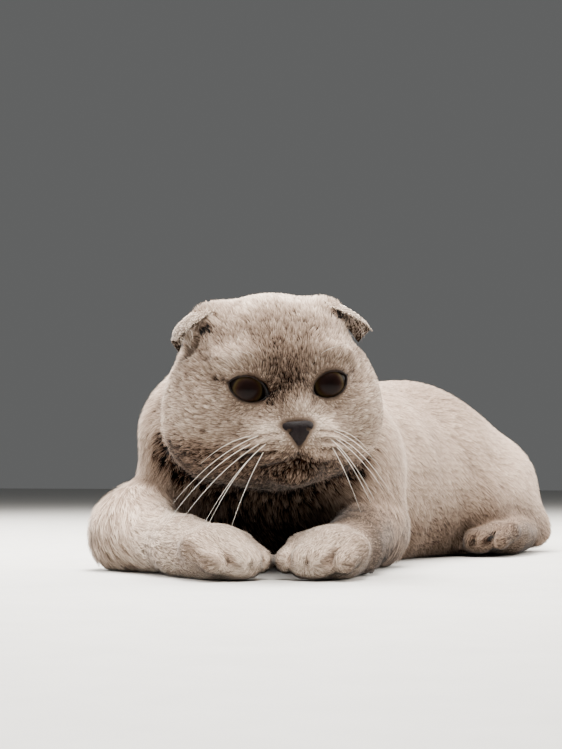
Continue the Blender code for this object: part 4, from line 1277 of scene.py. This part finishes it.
def coat_piece(name, spots, shading, tints, maps):
    """An object of tufts with their colours, their places on the skin's map and their normals."""
    start = np.arange(len(spots))[:, None] * len(TUFT_LIFTS)
    piece = new_object(name, spots.reshape(-1, 3), (start + TUFT_FACES).reshape(-1, 3))
    point_attribute(piece, "coat", tints.reshape(-1, 4))
    layer = piece.data.uv_layers.new(name="OFBake")
    layer.data.foreach_set("uv", maps[:, TUFT_FACES].astype(np.float32).ravel())
    outward = unit(shading.reshape(-1, 3)).astype(np.float32)
    piece.data.normals_split_custom_set_from_vertices(outward)
    point_attribute(piece, "outward", outward)
    return piece


def make_coat(skin, ear_flow):
    """All the tufts of the coat, in pieces by the part of the body that they grow on."""
    points, normals, flat, corners, shares = surface_samples(skin, coat_density, 11)
    random = np.random.default_rng(12)
    flow = (ear_flow[corners] * shares).sum(axis=1)
    on_ear = np.linalg.norm(flow, axis=1) > 0.5
    way = lie(points, normals)
    way[on_ear] = along_skin(flow[on_ear], normals[on_ear])
    depth = coat_depth(points)
    depth[on_ear] = EAR_COAT_DEPTH
    tips, rise, clump_tone = tuft_tips(points, normals, way, depth, on_ear, random)
    width = (0.00016 + depth * 0.120) * random.uniform(0.75, 1.25, len(points))
    width = width * 1.0
    spots, shading = tuft_blades(points, normals, tips, rise, width)
    tints = tuft_tints(points, on_ear, clump_tone, random)
    maps = np.clip(flat[:, None, :] + np.array(TUFT_MAP) * TUFT_PATCH, 0.0, 1.0)
    buried = on_ear & (skin_mass(points) < 0.0)
    keep = ~buried & (tips[:, 2] > 0.0)
    names, nearest = body_parts(points, on_ear)
    pieces = []
    for number, body_part in enumerate(names):
        members = np.flatnonzero(keep & (nearest == number))
        for share in np.array_split(members, max(1, math.ceil(len(members) / PIECE_TUFTS))):
            if len(share):
                name = "coat_%s_%d" % (body_part, len(pieces))
                pieces.append(coat_piece(name, spots[share], shading[share], tints[share], maps[share]))
    return pieces


def face_y(x, z):
    """The y at which the skin of the face is met from the front, in the head's frame."""
    ways = np.linspace(-0.075, -0.010, 800)
    places = np.stack([np.full_like(ways, x), ways, np.full_like(ways, z)], axis=1)
    return float(ways[np.argmax(skin_mass(from_head(places)) < 0.0)])


def make_skin():
    """The skin with its ears, its flat map and colours, and the lie of the hair on the ears."""
    axes = [graded_axis(*whole, *fine) for whole, fine in zip(SKIN_BOX, FINE_BOX)]
    points, faces = skin_mesh(skin_mass, axes)
    points, faces, flows = [points], [faces], [np.zeros(points.shape)]
    for side in (1, -1):
        ear_points, ear_faces, ear_lie = ear_sheet(side)
        faces.append(ear_faces + sum(len(part) for part in points))
        points.append(ear_points)
        flows.append(ear_lie)
    flows = np.concatenate(flows)
    skin = new_object("skin", np.concatenate(points), np.concatenate(faces))
    bpy.context.view_layer.objects.active = skin
    skin.select_set(True)
    skin.data.uv_layers.new(name="OFBake")
    bpy.ops.object.mode_set(mode="EDIT")
    bpy.ops.mesh.select_all(action="SELECT")
    bpy.ops.uv.smart_project(angle_limit=math.radians(66.0), island_margin=0.002)
    bpy.ops.object.mode_set(mode="OBJECT")
    places = points_of(skin)
    off_ear = np.linalg.norm(flows, axis=1) < 0.5
    # The skin is darker than its tufts, with painted shade in the ears' openings and in the hollow cups
    # under the ears
    tone = coat_tone(places) - SKIN_SHADE - EAR_SHADE * ear_shade(places) * off_ear
    for side in (1, -1):
        cup = np.multiply(EAR_CUP_CENTRE, (side, 1, 1))
        tone -= CUP_SHADE * blob(to_head(places), cup, 0.011)
    point_attribute(skin, "coat", coat_colour(tone))
    return skin, flows


def make_eye(name, side):
    """An eyeball with a clear bulge at its front, turned to its own axis."""
    axis = unit(np.array(EYE_AXES[side]))
    across = unit(np.cross(axis, (0.0, 0.0, 1.0)))
    up = np.cross(across, axis)
    points, places, faces = [], [], []
    for ring, k in product(range(BALL_RINGS + 1), range(BALL_SEGMENTS)):
        polar, turn = math.pi * ring / BALL_RINGS, 2.0 * math.pi * k / BALL_SEGMENTS
        bulge = CORNEA_BULGE * max(0.0, 1.0 - (polar / CORNEA_ANGLE) ** 2)
        spot = (math.sin(polar) * math.cos(turn), -math.cos(polar), math.sin(polar) * math.sin(turn))
        world = spot[0] * across * side - spot[1] * axis + spot[2] * up
        points.append(world * (EYE_RADIUS + bulge))
        places.append(spot)
    for ring, k in product(range(BALL_RINGS), range(BALL_SEGMENTS)):
        after = (k + 1) % BALL_SEGMENTS
        near, far = ring * BALL_SEGMENTS, (ring + 1) * BALL_SEGMENTS
        face = (near + k, far + k, far + after, near + after)
        faces.append(face if side > 0 else face[::-1])
    centre = np.array((side * EYE_SPACING / 2, EYE_DEPTH, 0.0))
    made = new_object(name, from_head(np.array(points) + centre), faces)
    point_attribute(made, "local", places)
    return made


def almond(side, count, grow=0.0):
    """Places (x, z) along the edge of the eye's opening, in the head's frame."""
    half = EYE_OPENING_LENGTH / 2 + grow
    places = []
    for turn in np.linspace(0.0, 2.0 * math.pi, count):
        lift = UPPER_LID_RISE if math.sin(turn) > 0.0 else LOWER_LID_DROP
        out = half * math.cos(turn)
        up = (lift + grow) * math.sin(turn) * abs(math.sin(turn)) ** 0.25
        places.append((
            side * (EYE_SPACING / 2 + out * math.cos(EYE_TILT) - up * math.sin(EYE_TILT)),
            out * math.sin(EYE_TILT) + up * math.cos(EYE_TILT),
        ))
    return places


def on_ball(side, x, z, radius):
    """A place on the front of the eyeball, from where it is seen from the front."""
    gap = radius ** 2 - (x - side * EYE_SPACING / 2) ** 2 - z ** 2
    return (x, EYE_DEPTH - math.sqrt(max(gap, 1e-8)), z)


def on_face(x, z, inset=LINE_INSET):
    """A place just inside the skin of the face, from where it is seen from the front."""
    return (x, face_y(x, z) + inset, z)


def make_lids(name, side):
    """The dark rims of the lids, thicker above, with a short streak at each corner."""
    rim = [on_ball(side, x, z, EYE_RADIUS + 0.0005) for x, z in almond(side, LID_STEPS, 0.0001)]
    turns = [2.0 * math.pi * k / (LID_STEPS - 1) for k in range(LID_STEPS)]
    radii = [LID_RADIUS + UPPER_LID_EXTRA * max(0.0, math.sin(turn)) for turn in turns]
    strands = [(rim, radii, LINE_SIDES)]
    for end, (outward, upward), width in LID_STREAKS:
        half = end * EYE_OPENING_LENGTH / 2
        streak = []
        for share in np.linspace(-0.3, 1.0, 10):
            x = EYE_SPACING / 2 + half * math.cos(EYE_TILT) + outward * share
            z = half * math.sin(EYE_TILT) + upward * share
            streak.append(on_face(side * x, z))
        strands.append((streak, np.linspace(width, width * 0.2, 10), LINE_SIDES))
    return head_tubes(name, strands)


def make_nose():
    """The bare nose with its nostrils, slits and middle groove."""
    def mass(points):
        upper = ellipsoid(points, NOSE_MIDDLE, NOSE_UPPER_RADII)
        wings = ellipsoid(points, np.add(NOSE_MIDDLE, (0.0, 0.0, -0.0018)), (0.0078, 0.0061, 0.0032))
        lower = ellipsoid(points, np.add(NOSE_MIDDLE, NOSE_LOWER_OFFSET), (0.0048, 0.0058, 0.0048))
        distance = blend(blend(upper, wings, 0.002), lower, 0.0035)
        groove = segment_gap(points, (0.0, -0.0592, -0.0195), (0.0, -0.0590, -0.0285))
        distance = distance + 0.0007 * fade(groove, 0.0006)
        for side in (1, -1):
            turn = turn_matrix(y=side * NOSTRIL_TURN)
            centre, slit_end = (np.multiply(place, (side, 1, 1)) for place in (NOSTRIL_CENTRE, SLIT_END))
            hollow = ellipsoid(points, centre, (0.0019, 0.0014, 0.0010), turn)
            slit = limb(points, centre, slit_end, 0.0006, 0.0003)
            distance = -blend(-distance, blend(hollow, slit, 0.0006), 0.0004)
        return distance + 0.00006 * noise(points, 0.0007, 8)

    low, high = np.add(NOSE_MIDDLE, -0.0125), np.add(NOSE_MIDDLE, 0.0105)
    points, faces = skin_mesh(mass, [np.arange(a, b, NOSE_STEP) for a, b in zip(low, high)])
    made = new_object("nose_tip", from_head(points), faces)
    point_attribute(made, "local", points)
    return made


def make_lips():
    """The dark line between the lips and down from the nose: partly the lips' own dark edge and partly
    painted shade in the grooves.
    """
    mouth = [on_face(x, z) for x, z in mouth_places(31)]
    radii = [0.00052 * (1.0 - abs(share)) + 0.00006 for share in np.linspace(-1.0, 1.0, 31)]
    parting = [on_face(0.0, z) for z in np.linspace(PARTING_TOP_Z, LIP_PARTING_Z, 12)]
    return head_tubes("lips", [
        (mouth, radii, LINE_SIDES), (parting, np.linspace(0.0006, 0.00055, 12), LINE_SIDES),
    ])


def hair_path(start, way, length, droop, steps=14):
    """A thin hair that leaves the skin along way and bends down, in the head's frame."""
    way = unit(np.array(way))
    fall = np.array((0.0, 0.0, -droop * length))
    shares = np.linspace(-0.03, 1.0, steps)
    return [np.array(start) + way * length * share + fall * share ** 2 for share in shares]


def make_whiskers():
    """Whiskers on both pads and two hairs above each eye."""
    strands = []
    random = np.random.default_rng(21)
    for side in (1, -1):
        outward, forward, reach = WHISKER_SWEEP[side]
        for z, x, fall, share in WHISKERS:
            way = (side * outward, forward, -0.9 * fall)
            length = reach * share * random.uniform(0.93, 1.05)
            path = hair_path(on_face(side * x, z, 0.0), way, length, random.uniform(0.30, 0.44))
            strands.append((path, np.linspace(0.00017, 0.00003, len(path)), 6))
        for k in range(BROW_HAIRS):
            start = on_face(side * (0.0165 + 0.003 * k), 0.0150 + 0.0015 * k, 0.0)
            way = (side * (0.45 + 0.25 * k), -0.75, 0.45)
            path = hair_path(start, way, random.uniform(0.010, 0.014), 0.25)
            strands.append((path, np.linspace(0.00006, 0.00002, len(path)), 5))
    return head_tubes("whiskers", strands)


def make_ear_hairs():
    """Pale wisps that cross the opening under each folded ear."""
    strands = []
    random = np.random.default_rng(31)
    shares = np.linspace(0.0, 1.0, 7)
    for side, _ in product((1, -1), range(EAR_WISPS)):
        across = random.uniform(0.12, 0.95)
        start = ear_middle(across, random.uniform(0.45, 0.9)) + np.array((-0.001, 0.001, -0.001))
        end = np.array(EAR_CUP_CENTRE) + random.normal(0.0, 0.0035, 3) + np.array((0.0, -0.006, -0.004))
        way = (end - start) / np.linalg.norm(end - start)
        length = random.uniform(0.006, 0.011)
        sag = random.normal(0.0, 0.0008, 3)
        path = [start + way * length * share + sag * math.sin(math.pi * share) for share in shares]
        strands.append((np.array(path) * (side, 1.0, 1.0), np.linspace(0.00014, 0.00003, 7), 4))
    return head_tubes("ear_hairs", strands)


# Stage, lights and camera

def camera_place(right, ahead, height):
    """From the camera's own ground frame, right and ahead of the lens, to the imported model's frame."""
    right, ahead = right - CAMERA_OFFSET[0], ahead - CAMERA_OFFSET[1]
    x = right * math.cos(CAMERA_TURN) - ahead * math.sin(CAMERA_TURN)
    y = right * math.sin(CAMERA_TURN) + ahead * math.cos(CAMERA_TURN)
    return Vector((x, y, height)) - Vector(CAT_MIDDLE)


def make_camera():
    data = bpy.data.cameras.new("camera")
    data.lens = CAMERA_LENS
    data.sensor_width = 36.0
    data.sensor_fit = "AUTO"
    data.clip_start = 0.02
    data.clip_end = 50.0
    data.dof.use_dof = False
    made = bpy.data.objects.new("camera", data)
    bpy.context.scene.collection.objects.link(made)
    made.location = camera_place(0.0, 0.0, CAMERA_HEIGHT)
    made.rotation_euler = (math.radians(90.0) + CAMERA_PITCH, 0.0, CAMERA_TURN)
    bpy.context.scene.camera = made


def area_light(name, place, target, size, power, tint):
    """A soft light that shines from its place to its target, both in the camera's ground frame."""
    data = bpy.data.lights.new(name, "AREA")
    data.shape = "RECTANGLE"
    data.size, data.size_y = size
    data.energy = power
    data.color = tint
    made = bpy.data.objects.new(name, data)
    bpy.context.scene.collection.objects.link(made)
    made.location = camera_place(*place)
    way = camera_place(*target) - made.location
    made.rotation_euler = way.to_track_quat("-Z", "Y").to_euler()


def make_stage():
    """The pale floor, the grey of the world and the lights."""
    corners = [(x, y, 0.0) for x, y in ((-1, -1), (1, -1), (1, 1), (-1, 1))]
    spots = np.array(corners) * FLOOR_HALF + np.array(CAT_MIDDLE)
    floor = new_object("floor", spots, [(0, 1, 2, 3)])
    floor.data.materials.append(plain_material(
        "floor", (194, 193, 190), (201, 200, 197), 38.0, 0.62, detail=6.0, edge=0.3, Specular_IOR_Level=0.3
    ))
    world = bpy.data.worlds.new("world")
    world.use_nodes = True
    background = world.node_tree.nodes["Background"]
    background.inputs["Color"].default_value = (0.62, 0.63, 0.63, 1.0)
    background.inputs["Strength"].default_value = 0.20
    bpy.context.scene.world = world
    for light in LIGHTS:
        area_light(*light)


def main():
    make_camera()
    make_stage()
    skin, ear_flow = make_skin()
    coat = make_coat(skin, ear_flow)
    skin.data.materials.append(skin_material())
    fur = tuft_material()
    for piece in coat:
        piece.data.materials.append(fur)
        piece.visible_shadow = False
        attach(piece, "root")
    flesh = [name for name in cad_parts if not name.startswith("eye") and name != "nose"]
    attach(skin, "root")
    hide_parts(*flesh)
    eye = eye_material()
    lid = plain_material("lid rim", (18, 12, 11), (38, 28, 25), 500.0, 0.65, Specular_IOR_Level=0.12)
    for name, side in (("left", 1), ("right", -1)):
        ball = make_eye("eyeball_" + name, side)
        ball.data.materials.append(eye)
        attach(ball, "root")
        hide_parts("eye_" + name)
        lids = make_lids("lids_" + name, side)
        lids.data.materials.append(lid)
        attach(lids, "root")
    nose = make_nose()
    nose.data.materials.append(nose_material())
    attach(nose, "root")
    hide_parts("nose")
    hair = plain_material("whisker", (226, 216, 203), (244, 239, 230), 60.0, 0.35)
    wisp = plain_material("ear hair", (168, 150, 138), (205, 190, 178), 200.0, 0.6)
    for made, finish in ((make_lips(), lid), (make_whiskers(), hair), (make_ear_hairs(), wisp)):
        made.data.materials.append(finish)
        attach(made, "root")


main()
